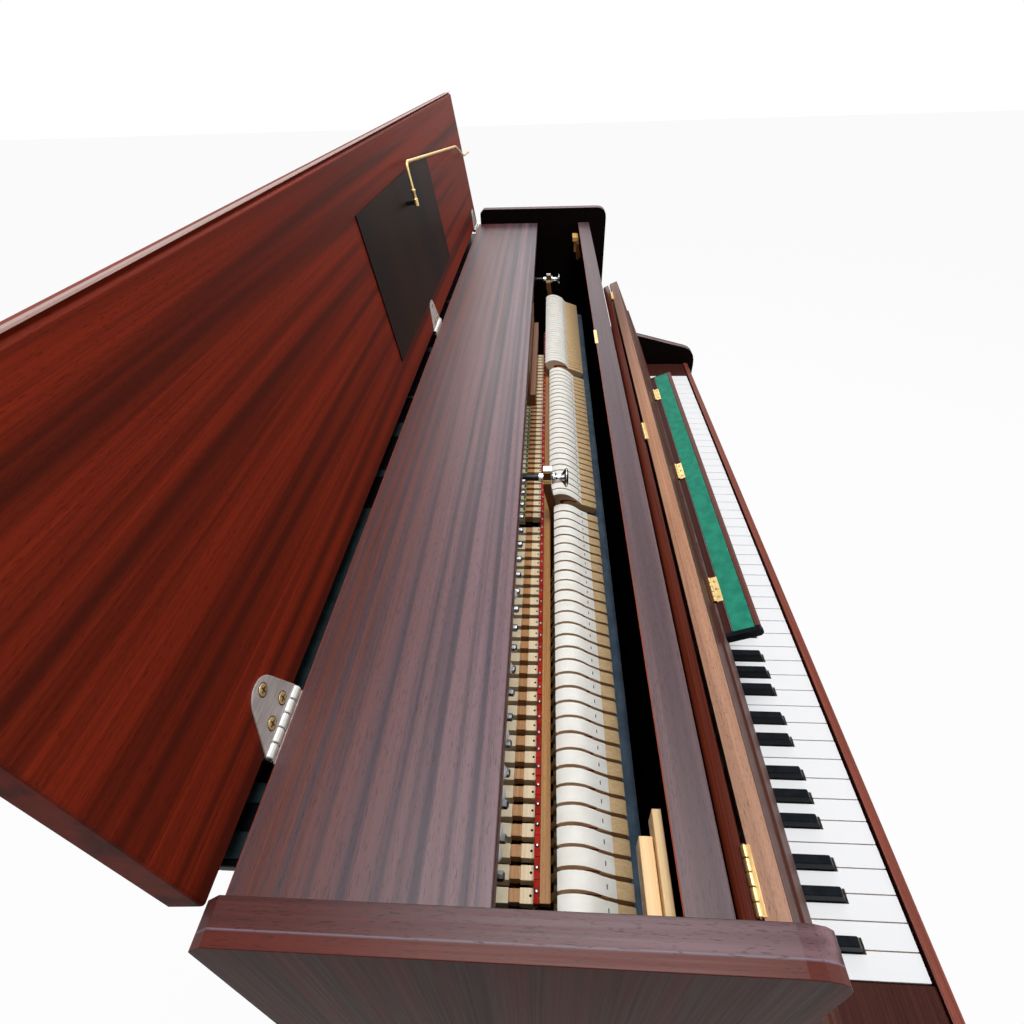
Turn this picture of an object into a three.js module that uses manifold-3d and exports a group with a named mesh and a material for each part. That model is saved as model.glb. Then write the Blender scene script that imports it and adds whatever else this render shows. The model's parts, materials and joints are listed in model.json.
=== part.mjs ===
// An upright piano, with its lid, keyboard cover and music shelf open.
// Lengths are in millimetres. X runs from the bass end to the treble end, Y to the rear, Z up.
// Depths are measured forward from the rear face of the case, heights from the floor, and places
// along the keyboard are shares of the width between the sides, counted from the bass side.
import * as THREE from "three";
import { mergeGeometries, mergeVertices } from "three/addons/utils/BufferGeometryUtils.js";
import Module from "manifold-3d";

const wasm = await Module();
wasm.setup();

const GAP = 0.3; // between two pieces that touch or run on each other
const OVERRUN = 3; // how far a cutter passes the face that it cuts
const CURVE_STEPS = 5;
const ROUND_SIDES = 12;
const FEW_SIDES = 8;
const RIGHT_ANGLE = 90;

const CASE = {
  width: 1362, // between the sides
  sideThickness: 20,
  aboveKeybed: 425, // of the sides
  frontMargin: 38, // of the sides in front of the upper panel
  frontTopRound: 22,
  rearTopCut: 8,
  boardDrop: 30, // of the boards between the sides, below the sides' tops
};
const ARM = {
  reach: 535,
  belowKeybed: 15,
  bottomRound: 18,
  rootRise: 153, // of the three corners above the keybed
  bendRise: 129,
  noseRise: 94,
  bendSetback: 159,
  noseSetback: 28,
  noseDrop: 46,
  noseRoundShare: 1 / 6,
};
const LEG = { toeHeight: 55, toeReach: 5, toeRise: 22, width: 42, depth: 44, setback: 12, taper: 7 };
const BOTTOM_BOARD = { bottom: 60, thickness: 20 };
const KEYBED = { bottom: 655, thickness: 35, plateGap: 40, dowelHole: 16 };
const LOWER_PANEL = { setback: 2, thickness: 20 };
const UPPER_PANEL = { railGap: 3, thickness: 11, capThickness: 25, capHeight: 18, sideGap: 1 };
const NAMEBOARD = { aboveKeys: 18, thickness: 20, behindPanel: 2, depth: 125 };
const PANEL_BLOCK = {
  inset: 10,
  width: 55,
  stepWidth: 40,
  height: 60,
  below: 40,
  thickness: 25,
  stepThickness: 10,
};
const TOP_BOARD = { overhang: 4, depth: 134, thickness: 20 };

const LID = {
  thickness: 20,
  lean: 9,
  hingeAbove: 2,
  endGap: 1.5,
  rearGap: 4,
  frontGap: 4, // behind the upper panel's face when the lid is closed
  edgeRound: 5,
};
const LID_HINGE = {
  placeShares: [0.0754, 0.547, 0.969],
  knuckleRadius: 3.7,
  leafLength: 38.5,
  leafWidth: 50,
  leafThickness: 1.4,
  tipShare: 0.72,
};
const PLAQUE = { middleShare: 0.549, width: 415, bottom: 39, height: 156, thickness: 1.2 };
const PROP = {
  radius: 2,
  standOff: 14,
  startShare: 0.5558,
  footHeight: 168,
  elbowHeight: 208,
  elbowRadius: 9,
  bendShare: 0.8737,
  bendHeight: 172,
  hookShare: 0.931,
  hookHeight: 146,
  endShare: 0.9912,
  endHeight: 142,
  socketWidth: 14,
  socketLength: 20,
  socketWall: 2.7,
};

const FALL = {
  lean: 24,
  length: 178,
  thickness: 18,
  endGap: 2,
  pivotAhead: 9.2, // of the nameboard rail
  pivotRise: 43.4, // above the nameboard rail
  pivotAlong: 37.9, // from the board's lower edge
  pivotIn: 10.3, // behind the board's face
  pinRadius: 4,
  battenThickness: 2.5,
  battenTop: 100,
};
const LIP = {
  length: 40,
  thickness: 14,
  behind: 2,
  hingeAbove: 0.5,
  hingePlaceShares: [0.054, 0.5, 0.94],
  knuckleRadius: 1.7,
  knuckleLength: 48,
};
const SHELF = {
  width: 40,
  thickness: 11,
  length: 655,
  rootHeight: 87,
  axisOut: 5,
  noseRound: 5,
  knuckleRadius: 2.2,
  knuckleLength: 40,
  hingePlaceShares: [0.11, 0.5, 0.89],
  baizeThickness: 1.2,
  baizeStart: 11,
};

const KEYS = {
  whiteCount: 52,
  blockWidth: 70, // of the block at each end, beside the keys
  gap: 1,
  seat: 22, // of the keys above the keybed
  thickness: 28,
  setback: 30, // of the key fronts behind the arm fronts
  headLength: 49,
  pivotSetback: 216,
  actionGap: 9, // from the hammers' axis to the rear ends
  soloActionGap: 15,
  tieLength: 9,
};
const SHARPS = {
  width: 11.5,
  rise: 12,
  shoulderDrop: 2,
  frontGap: 2,
  frontRake: 5,
  capLength: 102,
  actionGap: 16,
  tieRise: 8,
  tieHeight: 6,
};
const NOTE_COUNT = 7;
// How far the sharps of A, C, D, F and G lie from the joint of their white keys, as shares of the pitch.
const SHARP_SHIFT_SHARES = { 0: 0.136, 2: -0.111, 3: 0.111, 5: -0.136, 6: 0 };
const SPLIT_SHARE = 0.5;
const SOLO_WHITES = { 9: "key_c2", 10: "key_d2", 11: "key_e2" };
const SOLO_SHARPS = { 9: "key_c_sharp_2", 10: "key_d_sharp_2" };
const KEY_FRAME = {
  frontDrop: 10,
  frontRailSetback: 11,
  frontRailWidth: 50,
  balanceHalf: 16,
  ridgeHalf: 4.5,
  ridgeHeight: 6,
  backRailWidth: 37,
  stretcherWidth: 60,
  stretcherHeight: 9,
};
const SLIP = { thickness: 11, rise: 3, keyGap: 2.5 };

const ACTION = { plateGap: 65, aboveKeybed: 148, butt: 6, railDepth: 16, railHeight: 36 };
const BRACKET = {
  placeShares: [0.0162, 0.3587, 0.9104],
  thickness: 6,
  behindHammers: 5,
  footHeight: 12,
  footRise: 40,
  neckDepth: 12,
  neckDrop: 30,
  neckRise: 34,
  rise: 72, // of the head above the stop rail
  headThickness: 2,
  headHeight: 20,
  headReach: 10,
  boltRadius: 4,
  boltEnd: 6,
  nutRadius: 9,
  nutLength: 12,
};
const HAMMER = {
  lean: 20,
  shank: 112,
  shankThickness: 5.5,
  tail: 7,
  felt: 12,
  moulding: 4.6,
  woodShare: 0.25,
  shoulderShare: 0.5,
  noseShare: 0.8,
};
const HAMMER_BANKS = {
  hammers_bass: { spanShares: [0.033, 0.3524], count: 30, reach: 46, width: 10.5 },
  hammers_middle: { spanShares: [0.3649, 0.6314], count: 27, reach: 50, width: 9.6 },
  hammers_treble: { spanShares: [0.6498, 0.8994], count: 31, reach: 58, width: 8 },
};
const REST_RAIL = { ahead: 63, rise: 84, height: 22, armWidth: 7, spanShares: [0.022, 0.9046] };
const DAMPER = {
  behindHammers: 22,
  belowHammers: 16,
  rod: 4,
  rise: 106,
  height: 24,
  wireSetback: 5,
  wire: 2.2,
};
const DAMPER_BANKS = {
  dampers_bass: { spanShares: [0.044, 0.351], rodShare: 0.0206, count: 28, width: 9, fan: "bass" },
  dampers_middle: { spanShares: [0.3671, 0.7342], rodShare: 0.3656, count: 40, width: 7.5, fan: "treble" },
};
const STOP_RAIL = { ahead: 5, depth: 8, clearance: 1, height: 7, spanShares: [0.0426, 0.8076] };

const BACK = {
  postDepth: 58,
  postWidth: 62,
  postShares: [0, 0.25, 0.5, 0.75, 1],
  beamHeight: 110,
  bottom: 30,
  endGap: 2,
};
const SOUNDBOARD = { postGap: 2, thickness: 9, topGap: 5, bottom: 92, endGap: 14 };
const PIN_BLOCK = { thickness: 31, height: 135 };
const PLATE = {
  pinBlockGap: 1,
  thickness: 12,
  bottom: 92,
  topGap: 3,
  endGap: 6,
  rim: 46,
  headHeight: 92,
  barWidth: 26,
  barPlaceShares: [0.355, 0.62],
};
const STRINGS = { thickness: 1.1, tie: 10, topDrop: 77 };
const STRING_FANS = {
  bass: {
    count: 20,
    width: 4,
    proud: 14,
    topShares: [0.033, 0.334],
    bottomShares: [0.2423, 0.5984],
    bottomHeight: 185,
    bridgeShares: [0.3708, 0.5947],
    bridgeHeight: 240,
    finish: "copper",
  },
  treble: {
    count: 48,
    width: 3,
    proud: 2,
    topShares: [0.3649, 0.8994],
    bottomShares: [0.4112, 0.9471],
    bottomHeight: 330,
    bridgeShares: [0.4148, 0.9471],
    bridgeHeight: 400,
    finish: "steel",
  },
};
const BRIDGE = { thickness: 28, clearance: 2 };

const PEDAL = {
  spacing: 90,
  width: 26,
  drop: 20, // of the pedals' undersides below the bottom board
  thickness: 12,
  reach: 116,
  padLength: 65,
  pivotSetback: 37,
  softArm: 40,
  sustainArm: 22,
  pinRadius: 5,
  pinHole: 11,
  lugThickness: 8,
  lugDepth: 24,
  lugDrop: 22,
};
const TRAP = {
  pivotFromTreble: 21,
  height: 20,
  width: 15,
  above: 12,
  lugHeight: 26,
  lugLength: 18,
  lugThickness: 0.7,
};
const DOWEL = { radius: 5, softPlace: 26, sustainPlace: 41, armDrop: 33, armHeight: 8, footSetback: 18 };

const FINISHES = {
  mahogany: { color: 0x5b1d10, roughness: 0.3, metalness: 0 },
  darkWood: { color: 0x2a1410, roughness: 0.35, metalness: 0 },
  innerWood: { color: 0xb28a5c, roughness: 0.7, metalness: 0 },
  maple: { color: 0xc9a36c, roughness: 0.6, metalness: 0 },
  ebony: { color: 0x14100f, roughness: 0.25, metalness: 0 },
  ivory: { color: 0xe9e4d6, roughness: 0.25, metalness: 0 },
  brass: { color: 0xb08a3e, roughness: 0.3, metalness: 1 },
  nickel: { color: 0xa9a59c, roughness: 0.35, metalness: 1 },
  castIron: { color: 0x8a6b35, roughness: 0.5, metalness: 0.6 },
  steel: { color: 0x9a9a9a, roughness: 0.35, metalness: 1 },
  copper: { color: 0x9c5a34, roughness: 0.4, metalness: 1 },
  whiteFelt: { color: 0xd8d2c4, roughness: 1, metalness: 0 },
  blueFelt: { color: 0x5d6a78, roughness: 1, metalness: 0 },
  greenFelt: { color: 0x2c4a33, roughness: 1, metalness: 0 },
  spruce: { color: 0xc79d5f, roughness: 0.6, metalness: 0 },
};

// Heights that follow, from the floor up.
const BOARD_TOP = BOTTOM_BOARD.bottom + BOTTOM_BOARD.thickness;
const KEYBED_TOP = KEYBED.bottom + KEYBED.thickness;
const ARM_BOTTOM = KEYBED.bottom - ARM.belowKeybed;
const KEY_BOTTOM = KEYBED_TOP + KEYS.seat;
const KEY_TOP = KEY_BOTTOM + KEYS.thickness;
const SHARP_TOP = KEY_TOP + SHARPS.rise;
const SHARP_SHOULDER = KEY_TOP - SHARPS.shoulderDrop;
const NAMEBOARD_BOTTOM = KEY_TOP + NAMEBOARD.aboveKeys;
const NAMEBOARD_TOP = NAMEBOARD_BOTTOM + NAMEBOARD.thickness;
const HAMMER_AXIS_HEIGHT = KEYBED_TOP + ACTION.aboveKeybed;
const DAMPER_AXIS_HEIGHT = HAMMER_AXIS_HEIGHT - DAMPER.belowHammers;
const DAMPER_TOP = DAMPER_AXIS_HEIGHT + DAMPER.rise;
const STOP_RAIL_BOTTOM = DAMPER_TOP + STOP_RAIL.clearance;
const STOP_RAIL_TOP = STOP_RAIL_BOTTOM + STOP_RAIL.height;
const CASE_HEIGHT = KEYBED_TOP + CASE.aboveKeybed;
const BOARDS_TOP = CASE_HEIGHT - CASE.boardDrop;
const TOP_BOARD_BOTTOM = BOARDS_TOP - TOP_BOARD.thickness;
const PIN_BLOCK_BOTTOM = TOP_BOARD_BOTTOM - PIN_BLOCK.height;
const PLATE_TOP = TOP_BOARD_BOTTOM - PLATE.topGap;

// Depths that follow, from the rear to the front.
const SOUNDBOARD_REAR = BACK.postDepth + SOUNDBOARD.postGap;
const SOUNDBOARD_FRONT = SOUNDBOARD_REAR + SOUNDBOARD.thickness;
const PIN_BLOCK_FRONT = SOUNDBOARD_REAR + PIN_BLOCK.thickness;
const PLATE_REAR = PIN_BLOCK_FRONT + PLATE.pinBlockGap;
const PLATE_FRONT = PLATE_REAR + PLATE.thickness;
const KEYBED_REAR = PLATE_FRONT + KEYBED.plateGap;
const HAMMER_AXIS_DEPTH = PLATE_FRONT + ACTION.plateGap;
const DAMPER_AXIS_DEPTH = HAMMER_AXIS_DEPTH - DAMPER.behindHammers;
const STOP_RAIL_REAR = DAMPER_AXIS_DEPTH + STOP_RAIL.ahead;
const STOP_RAIL_FRONT = STOP_RAIL_REAR + STOP_RAIL.depth;
const BRACKET_FRONT = HAMMER_AXIS_DEPTH - BRACKET.behindHammers;
const REST_RAIL_FRONT = HAMMER_AXIS_DEPTH + REST_RAIL.ahead;
const UPPER_PANEL_REAR = REST_RAIL_FRONT + UPPER_PANEL.railGap;
const UPPER_PANEL_FRONT = UPPER_PANEL_REAR + UPPER_PANEL.thickness;
const CASE_DEPTH = UPPER_PANEL_FRONT + CASE.frontMargin;
const NAMEBOARD_REAR = UPPER_PANEL_REAR - NAMEBOARD.behindPanel;
const NAMEBOARD_FRONT = NAMEBOARD_REAR + NAMEBOARD.depth;
const KEY_FRONT = ARM.reach - KEYS.setback;
const KEY_HEAD_REAR = KEY_FRONT - KEYS.headLength;
const KEY_PIVOT_DEPTH = KEY_FRONT - KEYS.pivotSetback;
const KEY_REAR = HAMMER_AXIS_DEPTH + KEYS.actionGap;
const SHARP_FRONT = KEY_HEAD_REAR - SHARPS.frontGap;
const SHARP_REAR = HAMMER_AXIS_DEPTH + SHARPS.actionGap;
const SLIP_REAR = KEY_FRONT + SLIP.keyGap;
const PEDAL_PIVOT_DEPTH = CASE_DEPTH - PEDAL.pivotSetback;

// Widths that follow.
const HALF = CASE.width / 2;
const BETWEEN_SIDES = [-HALF + GAP, HALF - GAP];
const PITCH = (CASE.width - 2 * KEYS.blockWidth) / KEYS.whiteCount;
const KEYS_START = KEYS.blockWidth - HALF;
const fromBass = (place) => place - HALF;
const atShare = (share) => fromBass(share * CASE.width);
const spanOf = (shares) => shares.map(atShare);

const LID_AXIS = {
  depth: -TOP_BOARD.overhang - LID_HINGE.knuckleRadius - GAP,
  height: BOARDS_TOP + LID.hingeAbove,
};
const LID_LENGTH = UPPER_PANEL_FRONT - LID.frontGap - LID_AXIS.depth;

const piano = new THREE.Group();
const radians = THREE.MathUtils.degToRad;

function add(parent, name, geometry, finish) {
  const mesh = new THREE.Mesh(geometry, new THREE.MeshStandardMaterial(FINISHES[finish]));
  mesh.name = name;
  parent.add(mesh);
  return mesh;
}

// A group whose origin lies on an axis along X, leaning by an angle in degrees.
function pivot(parent, depth, height, lean = 0) {
  const group = new THREE.Group();
  group.position.set(0, -depth, height);
  group.rotation.x = radians(lean);
  parent.add(group);
  return group;
}

const outline = (points) => new THREE.Shape(points.map(([a, b]) => new THREE.Vector2(a, b)));

function circle(a, b, radius, sides = ROUND_SIDES) {
  const points = [];
  for (let i = 0; i < sides; i++) {
    const angle = (2 * Math.PI * i) / sides;
    points.push([a + radius * Math.cos(angle), b + radius * Math.sin(angle)]);
  }
  return outline(points);
}

const rectangle = ([a0, a1], [b0, b1]) =>
  outline([
    [a0, b0],
    [a1, b0],
    [a1, b1],
    [a0, b1],
  ]);

function extrude(shape, depth, right, up, out, origin) {
  const settings = { depth, bevelEnabled: false, curveSegments: CURVE_STEPS };
  const frame = new THREE.Matrix4().makeBasis(
    new THREE.Vector3(...right),
    new THREE.Vector3(...up),
    new THREE.Vector3(...out),
  );
  return new THREE.ExtrudeGeometry(shape, settings).applyMatrix4(frame.setPosition(...origin));
}

// A side view, in depth and height, drawn out along X.
const alongX = (shape, [from, to]) =>
  extrude(shape, to - from, [0, -1, 0], [0, 0, 1], [-1, 0, 0], [to, 0, 0]);

// A plan, in X and depth, drawn out from one height to another.
const upright = (shape, [bottom, top]) =>
  extrude(shape, top - bottom, [1, 0, 0], [0, -1, 0], [0, 0, -1], [0, 0, top]);

// A front view, in X and height, drawn out from one depth to another.
const facing = (shape, [rear, front]) =>
  extrude(shape, front - rear, [1, 0, 0], [0, 0, 1], [0, -1, 0], [0, -rear, 0]);

const block = (x, depth, height) => alongX(rectangle(depth, height), x);

const centred = (middle, width) => [middle - width / 2, middle + width / 2];

function solidOf(geometry) {
  const plain = geometry.index ? geometry.toNonIndexed() : geometry.clone();
  plain.deleteAttribute("normal");
  plain.deleteAttribute("uv");
  const merged = mergeVertices(plain);
  const mesh = new wasm.Mesh({
    numProp: 3,
    vertProperties: merged.attributes.position.array,
    triVerts: new Uint32Array(merged.index.array),
  });
  return new wasm.Manifold(mesh);
}

function geometryOf(solid) {
  const mesh = solid.getMesh();
  const geometry = new THREE.BufferGeometry();
  geometry.setAttribute("position", new THREE.BufferAttribute(mesh.vertProperties, 3));
  geometry.setIndex(new THREE.BufferAttribute(mesh.triVerts, 1));
  const flat = geometry.toNonIndexed();
  flat.computeVertexNormals();
  return flat;
}

const join = (...pieces) => geometryOf(pieces.map(solidOf).reduce((whole, piece) => whole.add(piece)));

const cut = (piece, ...cutters) =>
  geometryOf(cutters.map(solidOf).reduce((whole, cutter) => whole.subtract(cutter), solidOf(piece)));

// Separate copies that one tie joins into a single solid.
const tied = (copies, ...ties) => join(mergeGeometries(copies), ...ties);

// Case

function sideOutline() {
  const shape = new THREE.Shape();
  const frontTop = CASE_HEIGHT - CASE.frontTopRound;
  const underRound = ARM.reach - ARM.bottomRound;
  const noseHeight = KEYBED_TOP + ARM.noseRise;
  const noseRound = noseHeight - ARM.noseDrop * ARM.noseRoundShare;
  shape.moveTo(0, 0);
  shape.lineTo(CASE_DEPTH, 0);
  shape.lineTo(CASE_DEPTH, ARM_BOTTOM);
  shape.lineTo(underRound, ARM_BOTTOM);
  shape.quadraticCurveTo(ARM.reach, ARM_BOTTOM, ARM.reach, ARM_BOTTOM + ARM.bottomRound);
  shape.lineTo(ARM.reach, noseHeight - ARM.noseDrop);
  shape.quadraticCurveTo(ARM.reach, noseRound, ARM.reach - ARM.noseSetback, noseHeight);
  shape.lineTo(ARM.reach - ARM.bendSetback, KEYBED_TOP + ARM.bendRise);
  shape.lineTo(CASE_DEPTH, KEYBED_TOP + ARM.rootRise);
  shape.lineTo(CASE_DEPTH, frontTop);
  shape.quadraticCurveTo(CASE_DEPTH, CASE_HEIGHT, CASE_DEPTH - CASE.frontTopRound, CASE_HEIGHT);
  shape.lineTo(CASE.rearTopCut, CASE_HEIGHT);
  shape.lineTo(0, CASE_HEIGHT - CASE.rearTopCut);
  return shape;
}

function legOutline() {
  const front = ARM.reach - LEG.setback;
  const rear = front - LEG.depth;
  return outline([
    [CASE_DEPTH + GAP, 0],
    [ARM.reach + LEG.toeReach, 0],
    [ARM.reach + LEG.toeReach, LEG.toeHeight - LEG.toeRise],
    [front - LEG.taper, LEG.toeHeight],
    [front, ARM_BOTTOM - GAP],
    [rear, ARM_BOTTOM - GAP],
    [rear + LEG.taper, LEG.toeHeight],
    [CASE_DEPTH + GAP, LEG.toeHeight],
  ]);
}

function buildSides() {
  for (const [end, side] of Object.entries({ bass: -1, treble: 1 })) {
    const outer = side * (HALF + CASE.sideThickness);
    const span = [side * HALF, outer].sort((a, b) => a - b);
    add(piano, "side_panel_" + end, alongX(sideOutline(), span), "mahogany");
    const legSpan = [outer, outer - side * LEG.width].sort((a, b) => a - b);
    add(piano, "leg_" + end, alongX(legOutline(), legSpan), "mahogany");
  }
}

const LOWER_PANEL_FRONT = CASE_DEPTH - LOWER_PANEL.setback;
const LOWER_PANEL_SPAN = [LOWER_PANEL_FRONT - LOWER_PANEL.thickness, LOWER_PANEL_FRONT];
const SOFT = { x: -PEDAL.spacing / 2, depth: PEDAL_PIVOT_DEPTH - PEDAL.softArm };
const SUSTAIN = { x: PEDAL.spacing / 2, depth: PEDAL_PIVOT_DEPTH - PEDAL.sustainArm };
const TRAP_PIVOT_X = HALF - TRAP.pivotFromTreble;
const TRAP_BOTTOM = BOARD_TOP + TRAP.above;

// The bottom board, with the lugs that hold the pedals below it and the trap levers above it.
function bottomBoard() {
  const board = block(BETWEEN_SIDES, [BACK.postDepth + GAP, CASE_DEPTH], [BOTTOM_BOARD.bottom, BOARD_TOP]);
  const through = [BOTTOM_BOARD.bottom - OVERRUN, BOARD_TOP + OVERRUN];
  const lugs = [];
  const holes = [];
  for (const { x, depth } of [SOFT, SUSTAIN]) {
    for (const side of [-1, 1]) {
      const inner = x + side * (PEDAL.width / 2 + GAP);
      const span = [inner, inner + side * PEDAL.lugThickness].sort((a, b) => a - b);
      const heights = [BOTTOM_BOARD.bottom - PEDAL.lugDrop, BOARD_TOP - OVERRUN];
      lugs.push(block(span, centred(PEDAL_PIVOT_DEPTH, PEDAL.lugDepth), heights));
      const face = depth + side * (TRAP.width / 2 + GAP);
      const wall = [face, face + side * TRAP.lugThickness].sort((a, b) => a - b);
      const trapHeights = [BOARD_TOP - OVERRUN, BOARD_TOP + TRAP.lugHeight];
      lugs.push(block(centred(TRAP_PIVOT_X, TRAP.lugLength), wall, trapHeights));
    }
    holes.push(upright(circle(x, depth, PEDAL.pinHole), through));
  }
  return cut(join(board, ...lugs), ...holes);
}

function keybed() {
  const bed = block(BETWEEN_SIDES, [KEYBED_REAR, SLIP_REAR + SLIP.thickness], [KEYBED.bottom, KEYBED_TOP]);
  const through = [KEYBED.bottom - OVERRUN, KEYBED_TOP + OVERRUN];
  const radius = KEYBED.dowelHole / 2;
  const holes = [
    upright(circle(fromBass(DOWEL.softPlace), SOFT.depth, radius), through),
    upright(circle(fromBass(DOWEL.sustainPlace), SUSTAIN.depth, radius), through),
  ];
  return cut(bed, ...holes);
}

function buildCase() {
  const panelX = [-HALF + UPPER_PANEL.sideGap, HALF - UPPER_PANEL.sideGap];
  buildSides();
  add(piano, "bottom_board", bottomBoard(), "innerWood");
  add(piano, "keybed", keybed(), "darkWood");
  const slipHeights = [KEYBED_TOP + GAP, KEY_TOP + SLIP.rise];
  const slip = block(BETWEEN_SIDES, [SLIP_REAR, SLIP_REAR + SLIP.thickness], slipHeights);
  add(piano, "key_slip", slip, "mahogany");
  for (const [end, side] of Object.entries({ bass: -1, treble: 1 })) {
    const span = [side * (HALF - GAP), side * (-KEYS_START + KEYS.gap)].sort((a, b) => a - b);
    const depths = [NAMEBOARD_FRONT + GAP, SLIP_REAR - GAP];
    add(piano, "key_block_" + end, block(span, depths, [KEYBED_TOP + GAP, KEY_TOP]), "mahogany");
  }
  const lower = block(BETWEEN_SIDES, LOWER_PANEL_SPAN, [BOARD_TOP + GAP, KEYBED.bottom - GAP]);
  add(piano, "lower_front_panel", lower, "mahogany");
  const capRear = UPPER_PANEL_FRONT - UPPER_PANEL.capThickness;
  const upper = join(
    block(panelX, [UPPER_PANEL_REAR, UPPER_PANEL_FRONT], [NAMEBOARD_TOP + GAP, BOARDS_TOP]),
    block(panelX, [capRear, UPPER_PANEL_FRONT], [BOARDS_TOP - UPPER_PANEL.capHeight, BOARDS_TOP]),
  );
  add(piano, "upper_front_panel", upper, "mahogany");
  const rail = block(BETWEEN_SIDES, [NAMEBOARD_REAR, NAMEBOARD_FRONT], [NAMEBOARD_BOTTOM, NAMEBOARD_TOP]);
  add(piano, "nameboard_rail", rail, "darkWood");
  const boardDepths = [-TOP_BOARD.overhang, TOP_BOARD.depth - TOP_BOARD.overhang];
  const board = block(BETWEEN_SIDES, boardDepths, [TOP_BOARD_BOTTOM, BOARDS_TOP]);
  add(piano, "rear_top_board", board, "mahogany");
  add(piano, "panel_block_bass", panelBlock(UPPER_PANEL_REAR - GAP), "maple");
}

// Two stepped blocks in one, behind the bass end of the upper panel.
function panelBlock(front) {
  const top = BOARDS_TOP - PANEL_BLOCK.below;
  const heights = [top - PANEL_BLOCK.height, top];
  const start = PANEL_BLOCK.inset;
  const middle = front - PANEL_BLOCK.thickness;
  const rear = middle - PANEL_BLOCK.stepThickness;
  return join(
    block([fromBass(start), fromBass(start + PANEL_BLOCK.width)], [middle, front], heights),
    block([fromBass(start), fromBass(start + PANEL_BLOCK.stepWidth)], [rear, middle], heights),
    block([-HALF + GAP, fromBass(start)], [middle, front], heights),
  );
}

// Lid, drawn closed about its hinge axis and then turned open

function lidHinge(middle) {
  const span = centred(middle, LID_HINGE.leafWidth);
  const [tipStart, tipEnd] = centred(middle, LID_HINGE.leafWidth * LID_HINGE.tipShare);
  const plan = outline([
    [span[0], 0],
    [span[1], 0],
    [tipEnd, LID_HINGE.leafLength],
    [tipStart, LID_HINGE.leafLength],
  ]);
  const leaf = upright(plan, [-GAP - LID_HINGE.leafThickness, -GAP]);
  return join(leaf, alongX(circle(0, 0, LID_HINGE.knuckleRadius), span));
}

// A curve that stops only at its own points, so that a tube along it has one ring at each.
class Route extends THREE.Curve {
  constructor(points) {
    super();
    this.points = points;
  }
  index(share) {
    return Math.round(share * (this.points.length - 1));
  }
  getPoint(share) {
    return this.points[this.index(share)].clone();
  }
  getPointAt(share) {
    return this.getPoint(share);
  }
  getTangentAt(share) {
    const i = this.index(share);
    const before = this.points[Math.max(i - 1, 0)];
    const after = this.points[Math.min(i + 1, this.points.length - 1)];
    return after.clone().sub(before).normalize();
  }
}

// The prop's wire: a short leg, an elbow and a long arm with a bent end.
function propWire() {
  const at = (x, along) => new THREE.Vector3(x, -along, -PROP.standOff);
  const start = atShare(PROP.startShare);
  const points = [at(start, PROP.footHeight)];
  for (let i = 0; i <= CURVE_STEPS; i++) {
    const angle = ((Math.PI / 2) * i) / CURVE_STEPS;
    const across = PROP.elbowRadius * (1 - Math.cos(angle));
    const up = PROP.elbowRadius * (1 - Math.sin(angle));
    points.push(at(start + across, PROP.elbowHeight - up));
  }
  points.push(at(atShare(PROP.bendShare), PROP.bendHeight));
  points.push(at(atShare(PROP.hookShare), PROP.hookHeight));
  points.push(at(atShare(PROP.endShare), PROP.endHeight));
  const settings = { steps: points.length - 1, bevelEnabled: false, extrudePath: new Route(points) };
  return new THREE.ExtrudeGeometry(circle(0, 0, PROP.radius, FEW_SIDES), settings);
}

function propSocket() {
  const middle = atShare(PROP.startShare);
  const along = centred(PROP.footHeight, PROP.socketLength);
  const face = -PROP.standOff - PROP.radius - PROP.socketWall;
  const body = block(centred(middle, PROP.socketWidth), along, [face, -GAP - PLAQUE.thickness - GAP]);
  const bore = circle(middle, -PROP.standOff, PROP.radius + GAP);
  return cut(body, facing(bore, [PROP.footHeight - GAP, along[1] + OVERRUN]));
}

function buildLid() {
  const lid = pivot(piano, LID_AXIS.depth, LID_AXIS.height, -RIGHT_ANGLE - LID.lean);
  const span = [-HALF + LID.endGap, HALF - LID.endGap];
  const profile = outline([
    [LID.rearGap, 0],
    [LID_LENGTH - LID.edgeRound, 0],
    [LID_LENGTH, LID.edgeRound],
    [LID_LENGTH, LID.thickness - LID.edgeRound],
    [LID_LENGTH - LID.edgeRound, LID.thickness],
    [LID.rearGap, LID.thickness],
  ]);
  add(lid, "lid", alongX(profile, span), "mahogany");
  const plate = block(
    centred(atShare(PLAQUE.middleShare), PLAQUE.width),
    [PLAQUE.bottom, PLAQUE.bottom + PLAQUE.height],
    [-GAP - PLAQUE.thickness, -GAP],
  );
  add(lid, "lid_plaque", plate, "ebony");
  LID_HINGE.placeShares.forEach((share, i) => {
    add(lid, "lid_hinge_" + (i + 1), lidHinge(atShare(share)), "nickel");
  });
  add(lid, "lid_prop", propWire(), "brass");
  add(lid, "lid_prop_socket", propSocket(), "brass");
}

// Keyboard cover, drawn upright about its pivot and then leaned back

function fallboard() {
  const half = HALF - FALL.endGap;
  const up = (along) => along - FALL.pivotAlong;
  const out = (forward) => forward + FALL.pivotIn;
  const board = alongX(
    outline([
      [out(-FALL.thickness), up(0)],
      [out(FALL.battenThickness), up(0)],
      [out(FALL.battenThickness), up(FALL.battenTop)],
      [out(0), up(FALL.battenTop)],
      [out(0), up(FALL.length)],
      [out(-FALL.thickness), up(FALL.length)],
    ]),
    [-half, half],
  );
  return join(board, alongX(circle(0, 0, FALL.pinRadius), BETWEEN_SIDES));
}

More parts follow.
